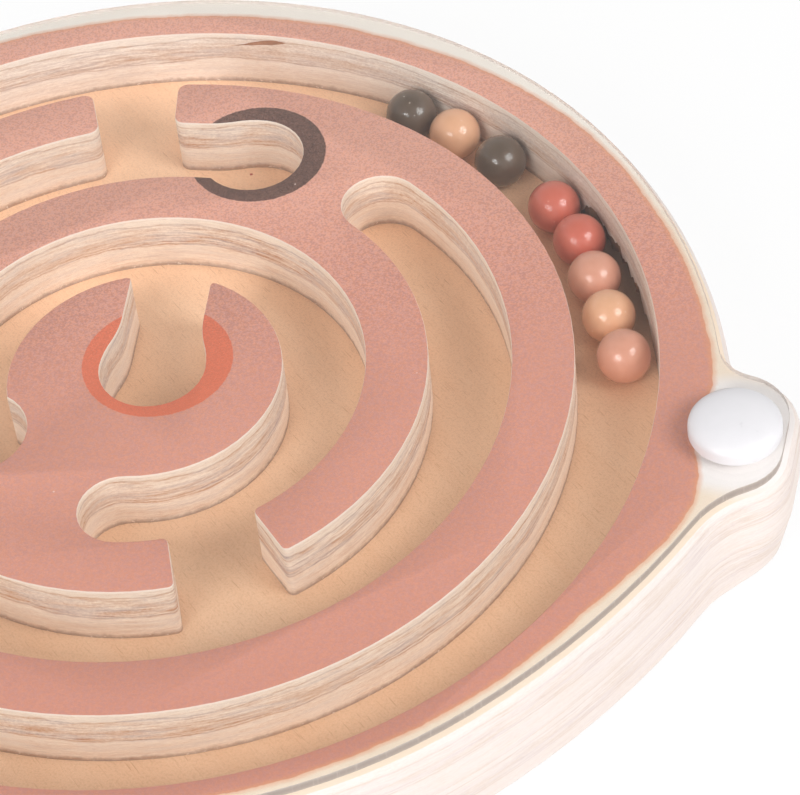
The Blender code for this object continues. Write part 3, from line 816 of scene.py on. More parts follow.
@dataclass(frozen=True)
class PrintFinish(Finish):
    """Dusty pink print on the wall tops, with rings round the pockets and a bare, ragged border."""

    name: str
    light: Colour
    dark: Colour
    lilac: Colour
    orange: Colour
    dust: Colour
    border: Colour
    bare_pale: Colour
    bare_deep: Colour
    # Painted reflection: the lug's bare wood is painted nearly white round the cap.
    lug_painted_reflection: Colour
    dark_ring: Colour
    red_ring: Colour
    tan_ring: Colour
    grain_bearing: float = 30.0
    grain_scale: float = 3300.0
    grain_level: float = 0.38
    worn: float = 0.32
    crisp: float = 3.0
    crisp_band: Span = (-15.0 * MM, 60.0 * MM)
    hue_share: float = 0.45
    # Painted light: the print is painted paler far off.
    painted_far_light: Colour = tint(252, 200, 175)
    painted_far_light_share: float = 0.22
    # Painted light: the bare wood is painted paler far off.
    bare_painted_far_light: Colour = tint(255, 248, 240)
    bare_painted_far_light_share: float = 0.7
    painted_light_far_band: Span = (5.0 * MM, 42.0 * MM)
    # Painted shade: the print is painted darker near by.
    painted_near_shade_share: float = 0.3
    painted_near_shade_band: Span = (-75.0 * MM, -20.0 * MM)
    grain_band: Span = (0.34, 0.66)
    hue_band: Span = (0.35, 0.65)
    tan_grit: float = 0.2
    red_grit: float = 0.2
    dark_grit: float = 0.22
    dust_share: float = 0.6
    lug_painted_reflection_share: float = 0.85
    border_share: float = 0.5
    drift: float = 0.12
    skin_share: float = 0.8
    gloss: float = 0.22
    roughness: float = 0.62
    uneven: float = 0.14
    relief: float = 0.012 * MM

    def paint(self, sheet: MaterialSheet) -> None:
        """Paints the print, grainier far off, its rings and the bare wood outside it, with painted light far
        off, painted shade near by and a painted reflection on the lugs.

        Args:
            sheet: The material\'s sheet.
        """
        sheet.surface["Specular IOR Level"].default_value = self.gloss
        skin = sheet.effect(SPECKLE, Vector=sheet.place, Scale=self.grain_scale)
        where = sheet.effect(PRINT_FIELD, Vector=sheet.place)
        wood = sheet.effect(BIRCH_FACE, Vector=sheet.turned(self.grain_bearing))
        _, depth, _ = sheet.sides(sheet.turned(PHOTO_BEARING))
        # Masks for painted light far off and painted shade near by, by depth along the view's bearing.
        far = sheet.step(depth, *self.painted_light_far_band)
        near = sheet.fall(depth, *self.painted_near_shade_band)
        crisp = sheet.between(sheet.step(depth, *self.crisp_band), self.worn, self.crisp)
        grain = sheet.step(skin["Grain"], *self.grain_band)
        ink = self.ink(sheet, skin["Hue"], grain, crisp)
        # Painted light makes the far print paler; painted shade makes the near print darker.
        ink = sheet.mix(sheet.scaled(far, self.painted_far_light_share), ink, self.painted_far_light)
        ink = sheet.mix(sheet.scaled(near, self.painted_near_shade_share), ink, self.dark)
        for mask, ring, grit in (("Tan Ring", self.tan_ring, self.tan_grit),
                                 ("Red Ring", self.red_ring, self.red_grit),
                                 ("Dark Ring", self.dark_ring, self.dark_grit)):
            speck = sheet.math("MULTIPLY_ADD", sheet.swing(grain, grit), crisp, 1.0)
            ink = sheet.mix(where[mask], ink, sheet.shaded(ring, speck))
        ink = sheet.mix(sheet.scaled(skin["Dust"], self.dust_share), ink, self.dust)
        bare = sheet.mix(wood["Tone"], self.bare_deep, self.bare_pale)
        # Painted light on the far bare wood.
        bare = sheet.mix(sheet.scaled(far, self.bare_painted_far_light_share), bare, self.bare_painted_far_light)
        # Painted reflection on the lugs' bare wood round the caps.
        bare = sheet.mix(sheet.scaled(where["Lug Reflection"], self.lug_painted_reflection_share), bare, self.lug_painted_reflection)
        colour = sheet.mix(where["Print"], bare, ink)
        colour = sheet.mix(sheet.scaled(where["Border"], self.border_share), colour, self.border)
        drift = sheet.scaled(sheet.swing(skin["Drift"], self.drift), where["Print"])
        colour = sheet.mix(drift, colour, self.dark)
        height = sheet.math("MULTIPLY_ADD", where["Print"], self.skin_share, grain)
        self.lay(sheet, colour, grain, height)

    def ink(self, sheet: MaterialSheet, hue: Value, grain: Value, crisp: Value) -> Socket:
        """Mixes the print's light and dark grain with lilac and orange dots.

        Args:
            sheet: The material's sheet.
            hue: A 0 to 1 noise that picks lilac or orange.
            grain: The 0 to 1 grain.
            crisp: How strongly the grain shows.

        Returns:
            The ink's colour.
        """
        spread = sheet.math("SUBTRACT", grain, self.grain_level)
        spread = sheet.math("MULTIPLY_ADD", spread, crisp, 0.5, clamp=True)
        dots = sheet.mix(sheet.step(hue, *self.hue_band), self.lilac, self.orange)
        return sheet.mix(self.hue_share, sheet.mix(spread, self.dark, self.light), dots)


@dataclass(frozen=True)
class AcrylicFinish(Finish):
    """Clear acrylic, which lets lamp light through to the maze."""

    name: str
    body: Colour
    roughness: float = 0.02
    smear: float = 0.04
    polished: bool = True
    clear: float = 1.0
    index: float = 1.49
    glare: float = 0.14
    # Painted shade: a darker band through the middle of a sawn edge, on its outer side only.
    edge_shade: Colour = tint(180, 166, 158)
    thick: float = 1.5 * MM
    edge_shade_depth: tuple[Span, ...] = ((0.0, 0.45), (0.25, 0.9), (0.55, 1.0), (0.85, 0.8), (1.0, 0.3))
    marks: Grain = Grain(55.0, 4.0, 0.6, (1.0, 2.2, 1.0))
    marks_band: Span = (0.52, 0.8)

    def paint(self, sheet: MaterialSheet) -> None:
        """Paints clear plastic with faint smears, painted shade in a band through the middle of a sawn edge,
        and opens it to shadow rays.

        Args:
            sheet: The material\'s sheet.
        """
        for title, value in (("Base Color", self.body), ("IOR", self.index),
                             ("Specular IOR Level", self.glare), ("Transmission Weight", self.clear)):
            sheet.surface[title].default_value = value
        smear = sheet.step(sheet.noise(sheet.place, self.marks), *self.marks_band)
        sheet.feed(sheet.surface["Roughness"], sheet.math("MULTIPLY_ADD", smear, self.smear, self.roughness))
        # A sawn edge gets painted shade in a band through its middle, left off its back faces.
        if not self.polished:
            _, _, z = sheet.sides(sheet.place)
            level = sheet.math("DIVIDE", sheet.math("SUBTRACT", z, WALL_TOP), self.thick)
            depth = sheet.ramp(level, self.edge_shade_depth)
            depth = sheet.scaled(depth, sheet.math("MULTIPLY_ADD", smear, -0.5, 1.0))
            facing = sheet.math("SUBTRACT", 1.0, sheet.node("NewGeometry").outputs["Backfacing"])
            colour = sheet.mix(sheet.scaled(depth, facing), self.body, self.edge_shade)
            sheet.feed(sheet.surface["Base Color"], colour)
        rays = sheet.node("LightPath").outputs
        passed = sheet.math("MAXIMUM", rays["Is Shadow Ray"], rays["Is Diffuse Ray"])
        sheet.blend(passed, sheet.node("BsdfTransparent"))


@dataclass(frozen=True)
class LacquerFinish(Finish):
    """Sprayed lacquer on a ball, with a faint mottle and stray specks."""

    name: str
    colour: Colour
    shade: Colour
    speck: Colour
    speck_share: float
    roughness: float = 0.45
    coat: float = 1.0
    coat_roughness: float = 0.12
    cells: float = 900.0
    bare_cells: float = 0.82
    speck_size: Span = (0.07, 0.15)
    speck_height: float = 0.3
    mottle: Grain = Grain(620.0, 3.0, 0.6)
    grain_scale: float = 2600.0
    grain_share: float = 0.1
    gloss: float = 0.25
    uneven: float = 0.12
    relief: float = 0.003 * MM

    def paint(self, sheet: MaterialSheet) -> None:
        """Paints mottle, specks and an orange-peel skin.

        Args:
            sheet: The material\'s sheet.
        """
        for title, value in (("Coat Weight", self.coat), ("Coat Roughness", self.coat_roughness),
                             ("Specular IOR Level", self.gloss)):
            sheet.surface[title].default_value = value
        skin = sheet.effect(SPECKLE, Vector=sheet.place, Scale=self.grain_scale)
        mottle = sheet.noise(sheet.place, self.mottle)
        tone = sheet.math("ADD", sheet.swing(skin["Grain"], self.grain_share), mottle, clamp=True)
        colour = sheet.mix(tone, self.shade, self.colour)
        away, chosen = sheet.dots(sheet.place, self.cells, self.bare_cells)
        specks = sheet.scaled(sheet.fall(away, *self.speck_size), chosen)
        colour = sheet.mix(sheet.scaled(specks, self.speck_share), colour, self.speck)
        peel = sheet.noise(sheet.place, Grain(self.cells, 1.0))
        peel = sheet.math("MULTIPLY_ADD", specks, self.speck_height, peel)
        self.lay(sheet, colour, mottle, peel)


@dataclass(frozen=True)
class MouldedFinish(Finish):
    """White moulded plastic with a satin skin."""

    name: str
    colour: Colour
    shade: Colour
    roughness: float = 0.30
    flow: Grain = Grain(240.0, 3.0, 0.6, (1.0, 1.0, 2.4))
    flow_band: Span = (0.25, 0.75)
    skin: Grain = Grain(5200.0)
    uneven: float = 0.14
    relief: float = 0.004 * MM

    def paint(self, sheet: MaterialSheet) -> None:
        """Paints faint flow marks and a fine mould texture.

        Args:
            sheet: The material\'s sheet.
        """
        flow = sheet.noise(sheet.place, self.flow)
        colour = sheet.mix(sheet.step(flow, *self.flow_band), self.shade, self.colour)
        self.lay(sheet, colour, flow, sheet.noise(sheet.place, self.skin))


@dataclass(frozen=True)
class SteelFinish(Finish):
    """Zinc-plated screw steel with turning marks."""

    name: str
    colour: Colour
    shade: Colour
    roughness: float = 0.32
    cloud: Grain = Grain(900.0, 3.0)
    marks: Grain = Grain(1400.0, stretch=(1.0, 1.0, 9.0))
    uneven: float = 0.2
    relief: float = 0.01 * MM

    def paint(self, sheet: MaterialSheet) -> None:
        """Paints cloudy plating and marks across the screw's axis.

        Args:
            sheet: The material\'s sheet.
        """
        sheet.surface["Metallic"].default_value = 1.0
        marks = sheet.noise(sheet.place, self.marks)
        colour = sheet.mix(sheet.noise(sheet.place, self.cloud), self.shade, self.colour)
        self.lay(sheet, colour, marks, marks)


@dataclass(frozen=True)
class StudioFloorFinish(Finish):
    """A plain white table that keeps the object's shadow."""

    name: str
    colour: Colour
    glow_share: float
    roughness: float = 0.9
    cloud: Grain = Grain(3.0)

    def paint(self, sheet: MaterialSheet) -> None:
        """Mixes plain white into what the camera and mirrors see of a matt table.

        Args:
            sheet: The material\'s sheet.
        """
        pale = sheet.mix(sheet.noise(sheet.place, self.cloud), self.colour, (1.0, 1.0, 1.0, 1.0))
        sheet.feed(sheet.surface["Base Color"], pale)
        sheet.feed(sheet.surface["Roughness"], self.roughness)
        rays = sheet.node("LightPath").outputs
        seen = sheet.math("MAXIMUM", rays["Is Camera Ray"], rays["Is Glossy Ray"])
        seen = sheet.math("MAXIMUM", seen, rays["Is Transmission Ray"])
        sheet.blend(sheet.scaled(seen, self.glow_share), sheet.node("Emission"))


# The channel floor carries painted shade, darker towards the near side, and a painted shadow at the rim's
# foot beside the torn rim.
CHANNEL_FLOOR = BirchFinish("channel_floor", tint(252, 213, 179), tint(241, 194, 155), tint(186, 134, 92),
                            0.42, painted_foot_shade_share=0.62)
BOARD_UNDERSIDE = BirchFinish("board_underside", tint(238, 220, 198), tint(220, 192, 162),
                              tint(178, 144, 110))
# The walls carry painted shade along their foot.
WALL_PLY = PlyEdgeFinish("wall_ply", tint(251, 233, 214), tint(194, 138, 98), tint(186, 160, 154), 1.2,
                         painted_foot_shade_share=0.55, lip_share=0.75)
# The rim wall also carries painted shade beside the balls.
RIM_PLY = PlyEdgeFinish("rim_ply", tint(254, 240, 226), tint(194, 150, 120), tint(188, 160, 150),
                        painted_foot_shade_share=0.55, lip_share=0.75, painted_wall_shade_share=0.28)
# The torn foot's wood is darkened with painted shade.
TORN_PLY_PAINTED_SHADE = PlyEdgeFinish("torn_ply_painted_shade", tint(178, 134, 102), tint(92, 62, 44), tint(112, 86, 72), 1.6,
                         relief=0.25 * MM, roughness=0.86)
VOID_PLY = PlyEdgeFinish("void_ply", tint(222, 168, 130), tint(170, 106, 76), tint(150, 100, 78), 1.6,
                         relief=0.25 * MM, roughness=0.86)
RIM_SIDE = PlyEdgeFinish("rim_side", tint(239, 228, 222), tint(218, 198, 184), tint(220, 205, 202), 0.42,
                         relief=0.05 * MM, roughness=0.67)
BOARD_SIDE = replace(RIM_SIDE, name="board_side", foot=0.0, stack=WALL_FOOT)
# The print carries painted light far off, painted shade near by, painted light on the far bare wood and a
# painted reflection on the lugs.
PINK_PRINT = PrintFinish(
    "dusty_pink_print", light=tint(233, 169, 149), dark=tint(195, 129, 112), lilac=tint(206, 149, 140),
    orange=tint(224, 152, 124), dust=tint(244, 216, 204), border=tint(228, 160, 118),
    bare_pale=tint(247, 230, 211), bare_deep=tint(236, 214, 190), lug_painted_reflection=tint(247, 242, 241),
    dark_ring=tint(112, 82, 72), red_ring=tint(224, 121, 91), tan_ring=tint(226, 170, 128))
CLEAR_COVER = AcrylicFinish("clear_acrylic", tint(253, 254, 254))
# The sawn edge carries a painted dark band through its middle.
COVER_EDGE = AcrylicFinish("sawn_acrylic", tint(228, 217, 209), roughness=0.3, smear=0.2, polished=False,
                           clear=0.2, marks=Grain(55.0, 4.0, 0.6, (40.0, 40.0, 3.0)))
CAP_WHITE = MouldedFinish("cap_white", tint(236, 234, 237), tint(233, 231, 234))
WASHER_WHITE = MouldedFinish("washer_white", tint(228, 226, 224), tint(216, 214, 212), 0.4)
SCREW_STEEL = SteelFinish("zinc_steel", tint(206, 206, 204), tint(170, 171, 172))
TABLE_WHITE = StudioFloorFinish("table_white", tint(248, 247, 246), 0.9)


class BallColour(Enum):
    """The four ball lacquers."""

    DARK = LacquerFinish("dark_ball_coat", tint(103, 84, 68), tint(82, 66, 54), tint(206, 190, 172), 0.75)
    TAN = LacquerFinish("tan_ball_coat", tint(236, 181, 144), tint(225, 167, 128), tint(250, 224, 198), 0.4)
    RED = LacquerFinish("red_ball_coat", tint(212, 113, 92), tint(198, 99, 80), tint(240, 176, 160), 0.4)
    PINK = LacquerFinish("pink_ball_coat", tint(225, 163, 138), tint(212, 147, 122), tint(238, 192, 172), 0.2)

    @property
    def slot(self) -> str:
        """The record's material slot of this lacquer."""
        return self.name.lower() + "_lacquer"


# ---------------------------------------------------------------- bench work


class Bench:
    """Edit-mode work on one object, with everything else left unselected."""

    def __init__(self, piece: Piece) -> None:
        """Keeps the piece that the calls work on."""
        self.piece = piece

    def __enter__(self) -> "Bench":
        """Selects the piece alone and enters edit mode.

        Returns:
            This bench.
        """
        pick_alone(self.piece)
        bpy.ops.object.mode_set(mode="EDIT")
        bpy.ops.mesh.reveal()
        return self

    def __exit__(self, *_: object) -> None:
        """Goes back to object mode."""
        bpy.ops.object.mode_set(mode="OBJECT")

    def select(self, kind: str, wanted: Callable[[object], bool]) -> int:
        """Selects faces, edges or vertices by a test.

        Args:
            kind: "faces", "edges" or "verts".
            wanted: The test of each element.

        Returns:
            How many were selected.
        """
        mode = {"faces": "FACE", "edges": "EDGE", "verts": "VERT"}[kind]
        bpy.ops.mesh.select_mode(type=mode)
        bpy.ops.mesh.select_all(action="DESELECT")
        mesh = bmesh.from_edit_mesh(self.piece.data)
        mesh.normal_update()
        count = 0
        for element in getattr(mesh, kind):
            chosen = bool(wanted(element))
            element.select_set(chosen)
            count += chosen
        mesh.select_flush_mode()
        bmesh.update_edit_mesh(self.piece.data)
        return count


def deselect_all() -> None:
    """Leaves no object selected."""
    for other in bpy.context.view_layer.objects:
        other.select_set(False)


def pick_alone(piece: Piece) -> None:
    """Makes a piece the only selected and active object.

    Args:
        piece: The object.
    """
    deselect_all()
    piece.select_set(True)
    bpy.context.view_layer.objects.active = piece


def start_piece(shape: Callable[..., object], **settings: object) -> Piece:
    """Adds a primitive to model from, with nothing else selected.

    Args:
        shape: The operator that adds it.
        **settings: The operator's settings.

    Returns:
        The new object, with its turn and place in its mesh.
    """
    deselect_all()
    shape(**settings)
    bpy.ops.object.transform_apply(location=True, rotation=True, scale=True)
    return bpy.context.object


def copy_of_node(node: str, name: str) -> Piece:
    """Makes a new piece from a CAD node's mesh, merged and with its flat faces whole.

    Args:
        node: The CAD node's name.
        name: The new piece's name.

    Returns:
        The new object.
    """
    mesh = frame["nodes"][node].data.copy()
    mesh.name = name
    mesh.materials.clear()
    piece = bpy.data.objects.new(name, mesh)
    bpy.context.scene.collection.objects.link(piece)
    with Bench(piece):
        bpy.ops.mesh.select_all(action="SELECT")
        bpy.ops.mesh.remove_doubles(threshold=0.002 * MM)
        bpy.ops.mesh.customdata_custom_splitnormals_clear()
        bpy.ops.mesh.dissolve_limited(angle_limit=math.radians(0.4))
    return piece


def apply_modifier(piece: Piece, kind: str, **settings: object) -> None:
    """Adds a modifier and applies it.

    Args:
        piece: The object.
        kind: The modifier's type.
        **settings: Its properties.
    """
    pick_alone(piece)
    made = piece.modifiers.new(kind.lower(), kind)
    for name, value in settings.items():
        setattr(made, name, value)
    bpy.ops.object.modifier_apply(modifier=made.name)


def smooth(piece: Piece, degrees: float = 25.0) -> None:
    """Shades a piece smooth, with edges past an angle kept sharp."""
    pick_alone(piece)
    bpy.ops.object.shade_smooth_by_angle(angle=math.radians(degrees))


def faces_up(face: Face) -> bool:
    """Tells whether a face is a level top."""
    return face.normal.z > LEVEL


def faces_down(face: Face) -> bool:
    """Tells whether a face is a level underside."""
    return face.normal.z < -LEVEL


def faces_aside(face: Face) -> bool:
    """Tells whether a face is neither a top nor an underside."""
    return abs(face.normal.z) < LEVEL


def paint_faces(piece: Piece, main_finish: Finish,
                *others: tuple[Finish, Callable[[Face], bool]]) -> None:
    """Gives a piece one finish all over, and others on chosen faces.

    Args:
        piece: The piece.
        main_finish: The finish of the faces that no test picks.
        *others: Pairs of a finish and the test of its faces.
    """
    for finish in (main_finish, *(finish for finish, _ in others)):
        piece.data.materials.append(finish.material())
    with Bench(piece) as bench:
        for slot, (_, wanted) in enumerate(others, 1):
            bench.select("faces", wanted)
            piece.active_material_index = slot
            bpy.ops.object.material_slot_assign()


def hand_over(piece: Piece, body: str, slot: str, *nodes: str) -> None:
    """Puts a finished piece on its body in place of CAD nodes, and logs it.

    Args:
        piece: The finished object.
        body: The CAD body it rides on.
        slot: The record's material slot; not used.
        *nodes: The CAD nodes it stands for.
    """
    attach(piece, body)
    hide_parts(*nodes)
    log.info("%s: %d faces, for %s", piece.name, len(piece.data.polygons), ", ".join(nodes))


# ---------------------------------------------------------------- sub-assemblies


@dataclass
class FloorBoard:
    """The plywood board under the maze, whose top is the channel floor."""

    node: str = "base_plate"
    top: float = 8.0 * MM
    seat: float = WALL_FOOT
    lug_start: float = 86.0 * MM
    lug_end: float = 93.0 * MM
    lug_centre: float = 80.0 * MM
    lug_taper: float = 0.10

    def build(self) -> None:
        """Raises the floor onto the walls' foot and tapers the lugs below."""
        piece = copy_of_node(self.node, "floor_board")
        with Bench(piece) as bench:
            bench.select("verts", lambda v: v.co.z > self.top - TOUCH)
            bpy.ops.transform.translate(value=(0.0, 0.0, self.seat - CLEARANCE - self.top))
        for vert in piece.data.vertices:
            if vert.co.z < self.top / 2:
                vert.co = self.tapered(vert.co)
        self.dress(piece)
        smooth(piece)
        hand_over(piece, "board", "birch", self.node)

    def tapered(self, place: Vector) -> Vector:
        """Draws a low point of a lug in, as the sanding round its end does.

        Args:
            place: A point of the board's lower edge.

        Returns:
            Where it goes.
        """
        share = min(max((abs(place.x) - self.lug_start) / (self.lug_end - self.lug_start), 0.0), 1.0)
        share = self.lug_taper * share * share * (3.0 - 2.0 * share)
        inner = Vector((math.copysign(self.lug_centre, place.x), 0.0, place.z))
        return place.lerp(inner, share)

    def dress(self, piece: Piece) -> None:
        """Gives the side, the floor and the underside their finishes."""
        paint_faces(piece, BOARD_SIDE, (CHANNEL_FLOOR, faces_up), (BOARD_UNDERSIDE, faces_down))


@dataclass
class RimWall:
    """The outer wall of the ball channel, with the two lugs."""

    node: str = "outer_rim"
    inside: float = 74.0 * MM
    inside_slack: float = 0.2 * MM
    routed_depth: float = 0.6 * MM
    foot: float = WALL_FOOT
    top: float = WALL_TOP
    edge_break: float = 0.22 * MM
    torn_margin: float = 0.2 * MM
    torn_depth: float = 1.9 * MM
    torn_steps: int = 88
    torn_heights: tuple[Span, ...] = (
        (20.5, 8.4), (21.7, 9.3), (23.2, 9.8), (24.6, 9.2), (25.9, 10.2), (26.6, 11.7), (28.4, 11.3),
        (29.9, 10.4), (30.9, 12.0), (32.5, 11.2), (33.2, 12.6), (35.2, 12.0), (36.9, 11.9), (39.0, 12.6),
        (40.8, 12.6), (42.5, 11.0), (43.5, 8.6))
    fray_wave: float = 1.7
    fray_layer: float = 0.3
    fray_lift: Span = (0.35, 0.7)
    fray_bite: Span = (0.75, 0.5)
    void_size: tuple[float, float, float] = (2.3 * MM, 1.2 * MM, 0.5 * MM)
    void_lumps: Span = (0.35, 2.6)
    void_tail: float = 2.2
    void_bearing: float = 90.6
    void_height: float = 16.75 * MM
    void_tilt: float = 9.0

    def build(self) -> None:
        """Breaks the routed edge, cuts the torn foot and the void, and dresses the wall."""
        piece = copy_of_node(self.node, "rim_wall")
        with Bench(piece) as bench:
            bench.select("edges", self.on_routed_edge)
            bpy.ops.mesh.bevel(offset=self.edge_break, segments=2, affect="EDGES")
        self.dress(piece)
        # The torn foot's cut faces take wood darkened with painted shade.
        for cutter, finish in ((self.foot_cutter(), TORN_PLY_PAINTED_SHADE), (self.void_cutter(), VOID_PLY)):
            cutter.data.materials.append(finish.material())
            apply_modifier(piece, "BOOLEAN", operation="DIFFERENCE", object=cutter, solver="EXACT",
                           material_mode="TRANSFER")
            bpy.data.objects.remove(cutter)
        smooth(piece)
        hand_over(piece, "board", "pink_print", self.node)

    def torn_height(self, degrees: float) -> float:
        """Gives how high the torn foot reaches at a bearing.

        Args:
            degrees: Bearing from the maze's centre.

        Returns:
            The height in metres.
        """
        for (low, first), (high, second) in zip(self.torn_heights, self.torn_heights[1:]):
            if low <= degrees <= high:
                return (first + (second - first) * (degrees - low) / (high - low)) * MM
        return self.foot

    def foot_cutter(self) -> Piece:
        """Spins a strip round the maze and frays it to the shape of the torn foot.

        Returns:
            The cutter.
        """
        start = self.torn_heights[0][0]
        span = self.torn_heights[-1][0] - start
        cutter = start_piece(bpy.ops.mesh.primitive_plane_add, size=2 * self.torn_depth,
                             rotation=(math.pi / 2, 0.0, 0.0))
        lift = self.foot - self.torn_margin + self.torn_depth
        for move in (Matrix.Translation((self.inside, 0.0, lift)),
                     Matrix.Rotation(math.radians(start), 4, "Z"), Matrix.Translation(MAZE_CENTRE)):
            cutter.data.transform(move)
        with Bench(cutter):
            bpy.ops.mesh.select_all(action="SELECT")
            bpy.ops.mesh.spin(steps=self.torn_steps, angle=-math.radians(span), center=MAZE_CENTRE,
                              axis=(0.0, 0.0, 1.0))
            mesh = bmesh.from_edit_mesh(cutter.data)
            for vert in mesh.verts:
                self.fray(vert)
            bmesh.update_edit_mesh(cutter.data)
            bpy.ops.mesh.select_all(action="SELECT")
            bpy.ops.mesh.normals_make_consistent(inside=False)
        return cutter

    def fray(self, vert: bmesh.types.BMVert) -> None:
        """Moves one corner of the spun strip to the torn outline.

        Args:
            vert: A corner of the cutter.
        """
        away = vert.co - MAZE_CENTRE
        degrees = math.degrees(math.atan2(away.y, away.x))
        rough = noise.noise(Vector((degrees * self.fray_wave, vert.co.z / MM, self.fray_layer)))
        if vert.co.z > self.foot:
            vert.co.z = self.torn_height(degrees) + (self.fray_lift[0] + self.fray_lift[1] * rough) * MM
        if away.xy.length > self.inside:
            deep = self.inside + self.torn_depth * (self.fray_bite[0] + self.fray_bite[1] * rough)
            vert.co.xy = (MAZE_CENTRE + away.normalized() * deep).xy

    def void_cutter(self) -> Piece:
        """Flattens a ball to the slit that a missing strip of veneer leaves.

        Returns:
            The cutter.
        """
        cutter = start_piece(bpy.ops.mesh.primitive_ico_sphere_add, subdivisions=4, radius=1.0)
        wide, deep, tall = self.void_size
        swell, waves = self.void_lumps
        for vert in cutter.data.vertices:
            left = max(0.0, -vert.co.x)
            vert.co *= 1.0 + swell * noise.noise(vert.co * waves)
            vert.co.x *= wide * (1.0 + self.void_tail * left)
            vert.co.y *= deep
            vert.co.z *= tall * (1.0 - left) ** 0.5
        turn = Matrix.Rotation(math.radians(self.void_bearing - 90.0), 4, "Z")
        tilt = Matrix.Rotation(math.radians(-self.void_tilt), 4, "Y")
        angle = math.radians(self.void_bearing)
        place = Vector((self.inside * math.cos(angle), self.inside * math.sin(angle), self.void_height))
        cutter.data.transform(Matrix.Translation(MAZE_CENTRE + place) @ turn @ tilt)
        return cutter

    def on_routed_edge(self, edge: Edge) -> bool:
        """Tells whether an edge is on the routed opening's top.

        Args:
            edge: An edge of the wall.

        Returns:
            True on the opening's top edge.
        """
        for vert in edge.verts:
            away = (vert.co - MAZE_CENTRE).xy.length
            if vert.co.z < self.top - TOUCH or abs(away - self.inside) > self.inside_slack:
                return False
        return True

    def faces_in(self, face: Face) -> bool:
        """Tells whether a face is on the channel's side of the rim."""
        middle = face.calc_center_median() - MAZE_CENTRE
        return middle.xy.length < self.inside + self.routed_depth and faces_aside(face)

    def dress(self, piece: Piece) -> None:
        """Gives each side its finish, and makes room for those of the torn foot, darkened with painted shade,
        and of the void.

        Args:
            piece: The rim wall.
        """
        paint_faces(piece, RIM_SIDE, (PINK_PRINT, faces_up), (RIM_PLY, self.faces_in),
                    (BOARD_UNDERSIDE, faces_down))
        for finish in (TORN_PLY_PAINTED_SHADE, VOID_PLY):
            piece.data.materials.append(finish.material())


